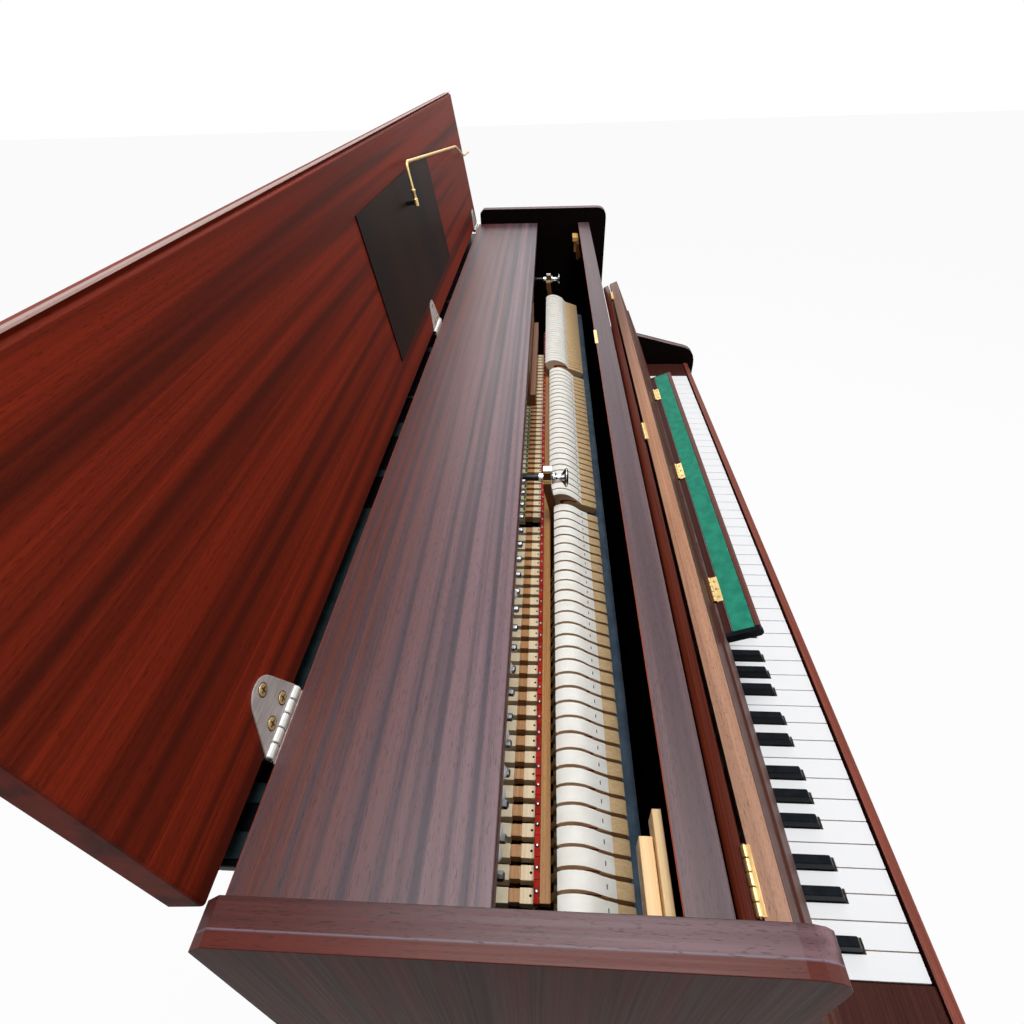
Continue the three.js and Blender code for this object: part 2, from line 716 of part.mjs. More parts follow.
function buildCover() {
  const cover = pivot(piano, NAMEBOARD_FRONT + FALL.pivotAhead, NAMEBOARD_TOP + FALL.pivotRise, -FALL.lean);
  const half = HALF - FALL.endGap;
  add(cover, "fallboard", fallboard(), "mahogany");

  const lipAxisOut = FALL.pivotIn - FALL.thickness - LIP.behind;
  const lip = pivot(cover, lipAxisOut, FALL.length + LIP.hingeAbove - FALL.pivotAlong);
  add(lip, "music_lip", musicLip(half), "mahogany");

  const shelf = pivot(cover, SHELF.axisOut + FALL.pivotIn, SHELF.rootHeight - FALL.pivotAlong);
  add(shelf, "music_shelf", musicShelf(), "mahogany");
  const baize = block(
    centred(0, SHELF.length - 2 * SHELF.noseRound),
    [SHELF.baizeStart, SHELF.width - SHELF.noseRound],
    [-SHELF.baizeThickness, 0],
  );
  add(shelf, "shelf_baize", baize, "greenFelt");
}

// The narrow front leaf, folded down behind the wide one, with its hinge knuckles.
function musicLip(half) {
  const near = -LIP.behind;
  const far = near - LIP.thickness;
  const round = LIP.thickness / 2;
  const shape = new THREE.Shape();
  shape.moveTo(near, -LIP.hingeAbove * 2);
  shape.lineTo(near, -LIP.length);
  shape.lineTo(far, -LIP.length);
  shape.lineTo(far, -round);
  shape.quadraticCurveTo(far, -LIP.hingeAbove * 2, far + round, -LIP.hingeAbove * 2);
  const knuckles = LIP.hingePlaceShares.flatMap((share) => {
    const span = centred((2 * share - 1) * half, LIP.knuckleLength);
    return [
      alongX(circle(0, 0, LIP.knuckleRadius, FEW_SIDES), span),
      block(span, [near - OVERRUN, 0], [-LIP.knuckleRadius - LIP.hingeAbove, -LIP.knuckleRadius / 2]),
    ];
  });
  return join(alongX(shape, [-half, half]), ...knuckles);
}

function musicShelf() {
  const top = -SHELF.baizeThickness - GAP;
  const bottom = top - SHELF.thickness;
  const front = SHELF.width;
  const shape = new THREE.Shape();
  shape.moveTo(0, bottom);
  shape.lineTo(front - SHELF.noseRound, bottom);
  shape.quadraticCurveTo(front, bottom, front, bottom + SHELF.noseRound);
  shape.lineTo(front, top - SHELF.noseRound / 2);
  shape.quadraticCurveTo(front, top, front - SHELF.noseRound / 2, top);
  shape.lineTo(0, top);
  const knuckle = circle(0, 0, SHELF.knuckleRadius, FEW_SIDES);
  const knuckles = SHELF.hingePlaceShares.map((share) => {
    return alongX(knuckle, centred((share - 1 / 2) * SHELF.length, SHELF.knuckleLength));
  });
  return join(alongX(shape, centred(0, SHELF.length)), ...knuckles);
}

// Keyboard

const hasSharp = (white) => white % NOTE_COUNT in SHARP_SHIFT_SHARES && white < KEYS.whiteCount - 1;
const sharpX = (white) => KEYS_START + (white + 1 + SHARP_SHIFT_SHARES[white % NOTE_COUNT]) * PITCH;

// A white key's plan: a wide head, and a tail that leaves room for the sharps beside it.
function whiteKey(white, rear) {
  const clear = SHARPS.width / 2 + KEYS.gap;
  const left = KEYS_START + white * PITCH + KEYS.gap / 2;
  const right = left + PITCH - KEYS.gap;
  const tailLeft = white > 0 && hasSharp(white - 1) ? sharpX(white - 1) + clear : left;
  const tailRight = hasSharp(white) ? sharpX(white) - clear : right;
  const plan = [
    [left, KEY_FRONT],
    [left, KEY_HEAD_REAR],
    [tailLeft, KEY_HEAD_REAR],
    [tailLeft, rear],
    [tailRight, rear],
    [tailRight, KEY_HEAD_REAR],
    [right, KEY_HEAD_REAR],
    [right, KEY_FRONT],
  ];
  const corners = plan.filter(([x, depth], i) => i === 0 || x !== plan[i - 1][0] || depth !== plan[i - 1][1]);
  return upright(outline(corners), [KEY_BOTTOM, KEY_TOP]);
}

// A sharp's side view. In a bank its rear end rises to the tie over the white keys.
function sharp(white, solo) {
  const capRear = SHARP_FRONT - SHARPS.capLength;
  const profile = [
    [SHARP_REAR, KEY_BOTTOM],
    [SHARP_FRONT, KEY_BOTTOM],
    [SHARP_FRONT, KEY_TOP],
    [SHARP_FRONT - SHARPS.frontRake, SHARP_TOP],
    [capRear, SHARP_TOP],
    [capRear, SHARP_SHOULDER],
  ];
  if (solo) {
    profile.push([SHARP_REAR, SHARP_SHOULDER]);
  } else {
    const riser = SHARP_REAR + KEYS.tieLength;
    const tieTop = KEY_TOP + SHARPS.tieRise + SHARPS.tieHeight;
    profile.push([riser, SHARP_SHOULDER], [riser, tieTop], [SHARP_REAR, tieTop]);
  }
  return alongX(outline(profile), centred(sharpX(white), SHARPS.width));
}

// The white keys from one place to another, on a tie behind them.
function whiteBank(numbers, start, end) {
  const span = [KEYS_START + start * PITCH + KEYS.gap, KEYS_START + end * PITCH - KEYS.gap];
  const tie = block(span, [KEY_REAR - KEYS.tieLength, KEY_REAR + OVERRUN], [KEY_BOTTOM, SHARP_SHOULDER]);
  const keys = numbers.filter((white) => !(white in SOLO_WHITES));
  return tied(keys.map((white) => whiteKey(white, KEY_REAR)), tie);
}

// The sharps of the same keys, on a tie that passes over the whites.
function sharpBank(numbers) {
  const keys = numbers.filter((white) => hasSharp(white) && !(white in SOLO_SHARPS));
  const span = [sharpX(keys[0]), sharpX(keys[keys.length - 1])];
  const bottom = KEY_TOP + SHARPS.tieRise;
  const tie = block(span, [SHARP_REAR, SHARP_REAR + KEYS.tieLength], [bottom, bottom + SHARPS.tieHeight]);
  return tied(keys.map((white) => sharp(white, false)), tie);
}

function buildKeys() {
  const split = Math.round(KEYS.whiteCount * SPLIT_SHARE);
  const banks = { low: [0, split], high: [split, KEYS.whiteCount] };
  for (const [name, [start, end]] of Object.entries(banks)) {
    const numbers = Array.from({ length: end - start }, (none, i) => start + i);
    add(piano, "white_keys_" + name, whiteBank(numbers, start, end), "ivory");
    add(piano, "black_keys_" + name, sharpBank(numbers), "ebony");
  }
  for (const [white, name] of Object.entries(SOLO_WHITES)) {
    add(piano, name, whiteKey(Number(white), HAMMER_AXIS_DEPTH + KEYS.soloActionGap), "ivory");
  }
  for (const [white, name] of Object.entries(SOLO_SHARPS)) {
    add(piano, name, sharp(Number(white), true), "ebony");
  }
  add(piano, "key_frame", keyFrame(), "maple");
}

// Front, balance and back rails on three stretchers; the keys rock on the balance rail's ridge.
function keyFrame() {
  const floor = KEYBED_TOP + GAP;
  const span = [KEYS_START, -KEYS_START];
  const middle = KEY_PIVOT_DEPTH;
  const seat = KEY_BOTTOM - GAP;
  const base = seat - KEY_FRAME.ridgeHeight;
  const balance = outline([
    [middle - KEY_FRAME.balanceHalf, floor],
    [middle + KEY_FRAME.balanceHalf, floor],
    [middle + KEY_FRAME.balanceHalf, base],
    [middle + KEY_FRAME.ridgeHalf, base],
    [middle + KEY_FRAME.ridgeHalf, seat],
    [middle - KEY_FRAME.ridgeHalf, seat],
    [middle - KEY_FRAME.ridgeHalf, base],
    [middle - KEY_FRAME.balanceHalf, base],
  ]);
  const rear = KEY_REAR - KEYS.tieLength;
  const front = KEY_FRONT - KEY_FRAME.frontRailSetback;
  const frontTop = KEY_BOTTOM - KEY_FRAME.frontDrop - GAP;
  const stretchers = [-1, 0, 1].map((side) => {
    const centre = side * (-KEYS_START - KEY_FRAME.stretcherWidth / 2);
    const heights = [floor, floor + KEY_FRAME.stretcherHeight];
    return block(centred(centre, KEY_FRAME.stretcherWidth), [rear + GAP, front - GAP], heights);
  });
  return join(
    alongX(balance, span),
    block(span, [front - KEY_FRAME.frontRailWidth, front], [floor, frontTop]),
    block(span, [rear, rear + KEY_FRAME.backRailWidth], [floor, seat]),
    ...stretchers,
  );
}

// Action

// One hammer from its butt to its felt nose, drawn with an upright shank.
function hammerOutline(reach) {
  const half = HAMMER.shankThickness / 2;
  const axis = HAMMER.shank;
  const low = axis - HAMMER.moulding;
  const high = axis + HAMMER.moulding;
  const felt = HAMMER.felt;
  const woodEnd = -reach * HAMMER.woodShare;
  const shoulder = -reach * HAMMER.shoulderShare;
  const nose = -reach * HAMMER.noseShare;
  const slim = felt * HAMMER.noseShare;
  return outline([
    [-half, 0],
    [half, 0],
    [half, low],
    [HAMMER.tail, low],
    [HAMMER.tail, high],
    [woodEnd, high],
    [shoulder, axis + felt],
    [nose, axis + slim],
    [-reach, axis],
    [nose, axis - slim],
    [shoulder, axis - felt],
    [woodEnd, low],
    [-half, low],
  ]);
}

function rowOf(bank, shape) {
  const [start, end] = spanOf(bank.spanShares);
  const step = (end - start - bank.width) / (bank.count - 1);
  const copies = [];
  for (let i = 0; i < bank.count; i++) {
    const left = start + i * step;
    copies.push(alongX(shape, [left, left + bank.width]));
  }
  return copies;
}

function buildHammers() {
  const swing = pivot(piano, HAMMER_AXIS_DEPTH, HAMMER_AXIS_HEIGHT, HAMMER.lean);
  for (const [name, bank] of Object.entries(HAMMER_BANKS)) {
    const butt = alongX(circle(0, 0, ACTION.butt, FEW_SIDES), spanOf(bank.spanShares));
    add(swing, name, tied(rowOf(bank, hammerOutline(bank.reach)), butt), "whiteFelt");
  }
}

// The rail that the hammer shanks rest on, on two arms that turn about the hammers' pivot.
function restRail() {
  const lean = radians(HAMMER.lean);
  const top = HAMMER_AXIS_HEIGHT + REST_RAIL.rise;
  const bottom = top - REST_RAIL.height;
  const shankFace = HAMMER.shankThickness / 2 / Math.cos(lean) + GAP;
  const face = (height) => HAMMER_AXIS_DEPTH + (height - HAMMER_AXIS_HEIGHT) * Math.tan(lean) + shankFace;
  const rail = outline([
    [face(bottom), bottom],
    [REST_RAIL_FRONT, bottom],
    [REST_RAIL_FRONT, top],
    [face(top), top],
  ]);
  const butt = ACTION.butt;
  const seatFront = SOFT.depth + DOWEL.radius;
  const arm = outline([
    [HAMMER_AXIS_DEPTH - butt, HAMMER_AXIS_HEIGHT],
    [HAMMER_AXIS_DEPTH, HAMMER_AXIS_HEIGHT - butt],
    [seatFront, HAMMER_AXIS_HEIGHT - butt],
    [seatFront, HAMMER_AXIS_HEIGHT],
    [HAMMER_AXIS_DEPTH + 2 * butt, HAMMER_AXIS_HEIGHT + butt],
    [REST_RAIL_FRONT - butt, bottom],
    [REST_RAIL_FRONT - butt, bottom + butt],
    [face(bottom) + butt, bottom + butt],
    [face(bottom) + butt, bottom],
  ]);
  const [start, end] = spanOf(REST_RAIL.spanShares);
  return join(
    alongX(rail, [start, end]),
    alongX(arm, [start, start + REST_RAIL.armWidth]),
    alongX(arm, [end - REST_RAIL.armWidth, end]),
  );
}

// A damper: felt against the string, a block, a barrel and a wire down to the damper rod.
function damperOutline(feltRear) {
  const bottom = DAMPER_TOP - DAMPER.height;
  const wireFront = DAMPER_AXIS_DEPTH - DAMPER.wireSetback;
  const wireRear = wireFront - DAMPER.wire;
  return outline([
    [feltRear, bottom],
    [wireRear, bottom],
    [wireRear, DAMPER_AXIS_HEIGHT + DAMPER.rod],
    [DAMPER_AXIS_DEPTH - DAMPER.rod / 2, DAMPER_AXIS_HEIGHT],
    [DAMPER_AXIS_DEPTH + DAMPER.rod / 2, DAMPER_AXIS_HEIGHT],
    [wireFront, DAMPER_AXIS_HEIGHT + 2 * DAMPER.rod],
    [wireFront, bottom],
    [DAMPER_AXIS_DEPTH, bottom],
    [DAMPER_AXIS_DEPTH, DAMPER_TOP],
    [feltRear, DAMPER_TOP],
  ]);
}

// The lug on the bass rod that the sustain pedal's dowel lifts.
function damperFoot(rodStart) {
  const end = fromBass(DOWEL.sustainPlace + DOWEL.radius);
  const depths = [DAMPER_AXIS_DEPTH - DOWEL.footSetback - DOWEL.radius, DAMPER_AXIS_DEPTH];
  return block([rodStart, end], depths, [DAMPER_AXIS_HEIGHT - DAMPER.rod, DAMPER_AXIS_HEIGHT]);
}

function buildDampers() {
  const rod = circle(DAMPER_AXIS_DEPTH, DAMPER_AXIS_HEIGHT, DAMPER.rod, FEW_SIDES);
  for (const [name, bank] of Object.entries(DAMPER_BANKS)) {
    const rodStart = atShare(bank.rodShare);
    const ties = [alongX(rod, [rodStart, atShare(bank.spanShares[1])])];
    if (name === "dampers_bass") ties.push(damperFoot(rodStart));
    const shape = damperOutline(PLATE_FRONT + STRING_FANS[bank.fan].proud + GAP);
    add(piano, name, tied(rowOf(bank, shape), ...ties), "whiteFelt");
  }
}

// A cast bracket from the keybed to the plate, with the bolt and nut that hold it.
function bracket(x) {
  const foot = KEYBED_TOP + GAP;
  const rear = DAMPER_AXIS_DEPTH + DAMPER.rod + GAP;
  const neckRear = STOP_RAIL_FRONT + GAP;
  const neckFront = neckRear + BRACKET.neckDepth;
  const headFront = neckRear + BRACKET.headThickness;
  const headRear = STOP_RAIL_REAR - BRACKET.headReach;
  const top = STOP_RAIL_TOP + BRACKET.rise;
  const shape = outline([
    [KEYBED_REAR + GAP, foot],
    [BRACKET_FRONT, foot],
    [BRACKET_FRONT, STOP_RAIL_BOTTOM - BRACKET.neckDrop],
    [neckFront, STOP_RAIL_BOTTOM],
    [neckFront, STOP_RAIL_TOP + BRACKET.neckRise],
    [headFront, top - BRACKET.headHeight],
    [headFront, top],
    [headRear, top],
    [headRear, top - BRACKET.headHeight],
    [neckRear, STOP_RAIL_TOP + BRACKET.headHeight],
    [neckRear, STOP_RAIL_BOTTOM - BRACKET.neckDepth],
    [rear, STOP_RAIL_BOTTOM - BRACKET.neckRise],
    [rear, foot + BRACKET.footRise],
    [KEYBED_REAR + GAP, foot + BRACKET.footHeight],
  ]);
  const boltHeight = top - BRACKET.headHeight / 2;
  const nutSpan = [headFront - GAP, headFront + BRACKET.nutLength];
  const bolt = circle(x, boltHeight, BRACKET.boltRadius, FEW_SIDES);
  return join(
    alongX(shape, centred(x, BRACKET.thickness)),
    facing(bolt, [PLATE_FRONT + GAP, nutSpan[1] + BRACKET.boltEnd]),
    facing(circle(x, boltHeight, BRACKET.nutRadius), nutSpan),
  );
}

function buildAction() {
  buildHammers();
  add(piano, "hammer_rest_rail", restRail(), "blueFelt");
  buildDampers();
  const names = ["action_bracket_bass", "action_bracket_middle", "action_bracket_treble"];
  const places = spanOf(BRACKET.placeShares);
  names.forEach((name, i) => add(piano, name, bracket(places[i]), "castIron"));
  const railTop = HAMMER_AXIS_HEIGHT - ACTION.butt - GAP;
  const railRear = BRACKET_FRONT + GAP;
  const railX = [places[0] - BRACKET.thickness, places[2] + BRACKET.thickness];
  const rail = block(railX, [railRear, railRear + ACTION.railDepth], [railTop - ACTION.railHeight, railTop]);
  add(piano, "action_rail", rail, "maple");
  const stopSpan = spanOf(STOP_RAIL.spanShares);
  const stop = block(stopSpan, [STOP_RAIL_REAR, STOP_RAIL_FRONT], [STOP_RAIL_BOTTOM, STOP_RAIL_TOP]);
  add(piano, "damper_stop_rail", stop, "maple");
}

// Back, plate, soundboard and strings

function backFrame() {
  const half = HALF - BACK.endGap;
  const top = TOP_BOARD_BOTTOM - GAP;
  const depths = [0, BACK.postDepth];
  const posts = BACK.postShares.map((share) => {
    const centre = (2 * share - 1) * (half - BACK.postWidth / 2);
    return block(centred(centre, BACK.postWidth), depths, [BACK.bottom, top]);
  });
  return join(
    ...posts,
    block([-half, half], depths, [top - BACK.beamHeight, top]),
    block([-half, half], depths, [BACK.bottom, BACK.bottom + BACK.beamHeight]),
  );
}

const PLATE_HALF = HALF - PLATE.endGap;
const PLATE_BARS = PLATE.barPlaceShares.map((share) => (2 * share - 1) * PLATE_HALF);

// The spans of the plate's openings, from bass to treble.
function plateSpans() {
  const bars = PLATE_BARS.flatMap((x) => centred(x, PLATE.barWidth));
  const edges = [PLATE.rim - PLATE_HALF, ...bars, PLATE_HALF - PLATE.rim];
  const spans = [];
  for (let i = 0; i < edges.length; i += 2) spans.push([edges[i], edges[i + 1]]);
  return spans;
}

function ironPlate() {
  const through = [PLATE_REAR - OVERRUN, PLATE_FRONT + OVERRUN];
  const heights = [PLATE.bottom + PLATE.rim, PLATE_TOP - PLATE.headHeight];
  const holes = plateSpans().map((span) => block(span, through, heights));
  const whole = block([-PLATE_HALF, PLATE_HALF], [PLATE_REAR, PLATE_FRONT], [PLATE.bottom, PLATE_TOP]);
  return cut(whole, ...holes);
}

// A bridge behind the plate, with caps that reach the strings through the plate's openings.
function bridge({ bridgeShares, bridgeHeight, proud }) {
  const heights = centred(bridgeHeight, BRIDGE.thickness);
  const ends = spanOf(bridgeShares);
  const front = PLATE_FRONT + proud - STRINGS.thickness - GAP;
  const caps = plateSpans()
    .map(([left, right]) => [
      Math.max(left + BRIDGE.clearance, ends[0]),
      Math.min(right - BRIDGE.clearance, ends[1]),
    ])
    .filter(([left, right]) => left < right)
    .map((span) => block(span, [PLATE_REAR - OVERRUN, front], heights));
  return join(block(ends, [SOUNDBOARD_FRONT + GAP, PLATE_REAR - GAP], heights), ...caps);
}

// Strings as flat strips between a tie at each end, fanned from the top to the bottom.
function stringFan({ count, width, proud, topShares, bottomShares, bottomHeight }) {
  const front = PLATE_FRONT + proud;
  const depths = [front - STRINGS.thickness, front];
  const topHeight = PLATE_TOP - STRINGS.topDrop;
  const topSpan = spanOf(topShares);
  const bottomSpan = spanOf(bottomShares);
  const leftOf = ([start, end], share) => start + (end - start - width) * share;
  const strips = [];
  for (let i = 0; i < count; i++) {
    const upper = leftOf(topSpan, i / (count - 1));
    const lower = leftOf(bottomSpan, i / (count - 1));
    const strip = outline([
      [lower, bottomHeight],
      [lower + width, bottomHeight],
      [upper + width, topHeight],
      [upper, topHeight],
    ]);
    strips.push(facing(strip, depths));
  }
  const tie = (span, height) => block(span, depths, centred(height, STRINGS.tie));
  return tied(strips, tie(topSpan, topHeight), tie(bottomSpan, bottomHeight));
}

function buildBack() {
  add(piano, "back_frame", backFrame(), "innerWood");
  const inner = [-HALF + SOUNDBOARD.endGap, HALF - SOUNDBOARD.endGap];
  const boardHeights = [SOUNDBOARD.bottom, PIN_BLOCK_BOTTOM - SOUNDBOARD.topGap];
  add(piano, "soundboard", block(inner, [SOUNDBOARD_REAR, SOUNDBOARD_FRONT], boardHeights), "spruce");
  const pinHeights = [PIN_BLOCK_BOTTOM, TOP_BOARD_BOTTOM - GAP];
  add(piano, "pin_block", block(inner, [SOUNDBOARD_REAR, PIN_BLOCK_FRONT], pinHeights), "maple");
  add(piano, "iron_plate", ironPlate(), "castIron");
  for (const [name, fan] of Object.entries(STRING_FANS)) {
    add(piano, name + "_strings", stringFan(fan), fan.finish);
    add(piano, name + "_bridge", bridge(fan), "maple");
  }
}

// Pedals and trap work

function pedal({ x, depth }) {
  const bottom = BOTTOM_BOARD.bottom - PEDAL.drop;
  const top = bottom + PEDAL.thickness;
  const half = PEDAL.width / 2;
  const front = CASE_DEPTH + PEDAL.reach;
  const padStart = front - PEDAL.padLength;
  const nose = front - half;
  const arm = block(centred(x, half), [depth - PEDAL.pinRadius, padStart + OVERRUN], [bottom, top]);
  const hub = block(centred(x, PEDAL.width), centred(PEDAL_PIVOT_DEPTH, PEDAL.lugDepth / 2), [bottom, top]);
  const plan = new THREE.Shape();
  plan.moveTo(x - half / 2, padStart);
  plan.lineTo(x - half, nose);
  plan.quadraticCurveTo(x - half, front, x, front);
  plan.quadraticCurveTo(x + half, front, x + half, nose);
  plan.lineTo(x + half / 2, padStart);
  const pin = upright(circle(x, depth, PEDAL.pinRadius, FEW_SIDES), [bottom, TRAP_BOTTOM - GAP]);
  return join(arm, hub, upright(plan, [bottom, top]), pin);
}

function trapLever({ depth }, place) {
  const span = [fromBass(place - DOWEL.radius * 2), TRAP_PIVOT_X + TRAP.lugLength / 3];
  return block(span, centred(depth, TRAP.width), [TRAP_BOTTOM, TRAP_BOTTOM + TRAP.height]);
}

function dowelSustain(foot) {
  const x = fromBass(DOWEL.sustainPlace);
  const armTop = DAMPER_AXIS_HEIGHT - DOWEL.armDrop;
  const depths = [DAMPER_AXIS_DEPTH - DOWEL.footSetback - DOWEL.radius, SUSTAIN.depth];
  return join(
    upright(circle(x, SUSTAIN.depth, DOWEL.radius), [foot, armTop]),
    block(centred(x, DOWEL.radius), depths, [armTop - DOWEL.armHeight, armTop]),
  );
}

function buildPedals() {
  const foot = TRAP_BOTTOM + TRAP.height + GAP;
  const softStem = circle(fromBass(DOWEL.softPlace), SOFT.depth, DOWEL.radius);
  const softHeights = [foot, HAMMER_AXIS_HEIGHT - ACTION.butt - GAP];
  add(piano, "pedal_soft", pedal(SOFT), "brass");
  add(piano, "pedal_sustain", pedal(SUSTAIN), "brass");
  add(piano, "trap_lever_soft", trapLever(SOFT, DOWEL.softPlace), "maple");
  add(piano, "trap_lever_sustain", trapLever(SUSTAIN, DOWEL.sustainPlace), "maple");
  add(piano, "dowel_soft", upright(softStem, softHeights), "maple");
  add(piano, "dowel_sustain", dowelSustain(foot), "maple");
}

buildCase();
buildLid();
buildCover();
buildKeys();
buildAction();
buildBack();
buildPedals();

// The origin is on the floor, under the middle of the whole depth with the lid open.
const bounds = new THREE.Box3().setFromObject(piano);
piano.position.y = -(bounds.min.y + bounds.max.y) / 2;

export default piano;
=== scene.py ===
"""An upright piano seen from its bass end, with its lid, keyboard cover and music shelf open."""

import json
import math
import random

import bmesh
import bpy
from mathutils import Matrix, Vector

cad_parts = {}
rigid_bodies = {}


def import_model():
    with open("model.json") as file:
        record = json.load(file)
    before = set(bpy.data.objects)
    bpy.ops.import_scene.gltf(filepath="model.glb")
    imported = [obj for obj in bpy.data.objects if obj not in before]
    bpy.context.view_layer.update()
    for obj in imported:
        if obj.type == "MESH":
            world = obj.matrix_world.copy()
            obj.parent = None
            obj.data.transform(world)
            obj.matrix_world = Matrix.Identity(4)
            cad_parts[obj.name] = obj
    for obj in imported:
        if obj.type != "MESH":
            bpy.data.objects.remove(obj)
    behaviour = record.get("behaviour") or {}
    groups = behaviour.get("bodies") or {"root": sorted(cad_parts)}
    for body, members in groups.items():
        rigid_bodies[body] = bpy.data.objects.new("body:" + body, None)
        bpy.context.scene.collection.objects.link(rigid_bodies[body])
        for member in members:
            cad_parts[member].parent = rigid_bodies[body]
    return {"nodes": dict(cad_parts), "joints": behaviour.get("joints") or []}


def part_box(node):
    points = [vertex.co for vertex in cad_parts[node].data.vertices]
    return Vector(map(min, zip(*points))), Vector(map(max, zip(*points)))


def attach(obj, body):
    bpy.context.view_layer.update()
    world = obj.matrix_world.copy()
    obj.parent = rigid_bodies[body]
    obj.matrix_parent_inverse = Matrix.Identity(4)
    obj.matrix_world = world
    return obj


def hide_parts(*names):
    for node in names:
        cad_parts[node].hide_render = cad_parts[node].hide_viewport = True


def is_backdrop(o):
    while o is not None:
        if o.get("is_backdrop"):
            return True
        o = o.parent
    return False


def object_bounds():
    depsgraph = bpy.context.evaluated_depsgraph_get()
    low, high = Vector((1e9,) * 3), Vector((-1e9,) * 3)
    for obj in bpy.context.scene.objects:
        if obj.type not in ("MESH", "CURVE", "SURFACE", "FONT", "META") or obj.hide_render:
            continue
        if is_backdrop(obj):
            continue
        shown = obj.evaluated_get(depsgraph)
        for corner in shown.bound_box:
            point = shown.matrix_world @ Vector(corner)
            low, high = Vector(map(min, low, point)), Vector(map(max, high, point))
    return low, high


for leftover in list(bpy.data.objects):
    bpy.data.objects.remove(leftover)
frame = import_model()
cad_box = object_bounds()
nodes = frame["nodes"]
rng = random.Random(7)

# Lengths are in millimetres: X from the bass end, depths forward from the rear face of the case,
# heights from the floor. MM turns them into the metres of the scene.
MM = 0.001
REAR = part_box("side_panel_bass")[1].y / MM
HALF = -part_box("side_panel_bass")[1].x / MM


def extent(node):
    low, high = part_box(node)
    return (
        (low.x / MM, high.x / MM),
        (REAR - high.y / MM, REAR - low.y / MM),
        (low.z / MM, high.z / MM),
    )


# Camera, from straight edges of the case and the pitch of the keys

CAMERA_PLACE = (-0.771, 0.0825, 1.412)
CAMERA_YAW = -0.074
CAMERA_PITCH = 0.679
CAMERA_ROLL = -0.038
FOCAL_PIXELS = 585
IMAGE_PIXELS = 1024
SENSOR = 36


def add_camera():
    data = bpy.data.cameras.new("camera")
    camera = bpy.data.objects.new("camera", data)
    bpy.context.scene.collection.objects.link(camera)
    pitch, yaw, roll = CAMERA_PITCH, CAMERA_YAW, CAMERA_ROLL
    forward = Vector((math.cos(pitch) * math.cos(yaw), -math.cos(pitch) * math.sin(yaw), -math.sin(pitch)))
    level = Vector((-math.sin(yaw), -math.cos(yaw), 0))
    upward = level.cross(forward)
    right = level * math.cos(roll) + upward * math.sin(roll)
    up = upward * math.cos(roll) - level * math.sin(roll)
    turn = Matrix((right, up, -forward)).transposed().to_4x4()
    camera.matrix_world = Matrix.Translation(CAMERA_PLACE) @ turn
    data.sensor_width = SENSOR
    data.lens = FOCAL_PIXELS / IMAGE_PIXELS * SENSOR
    data.clip_start = 0.01
    bpy.context.scene.camera = camera


add_camera()
bpy.context.scene.view_settings.view_transform = "Standard"


# Materials


def colour(red, green, blue):
    """A linear colour from the red, green and blue that a screen shows."""
    return tuple(((c / 255 + 0.055) / 1.055) ** 2.4 if c > 10 else c / 3295 for c in (red, green, blue)) + (1,)


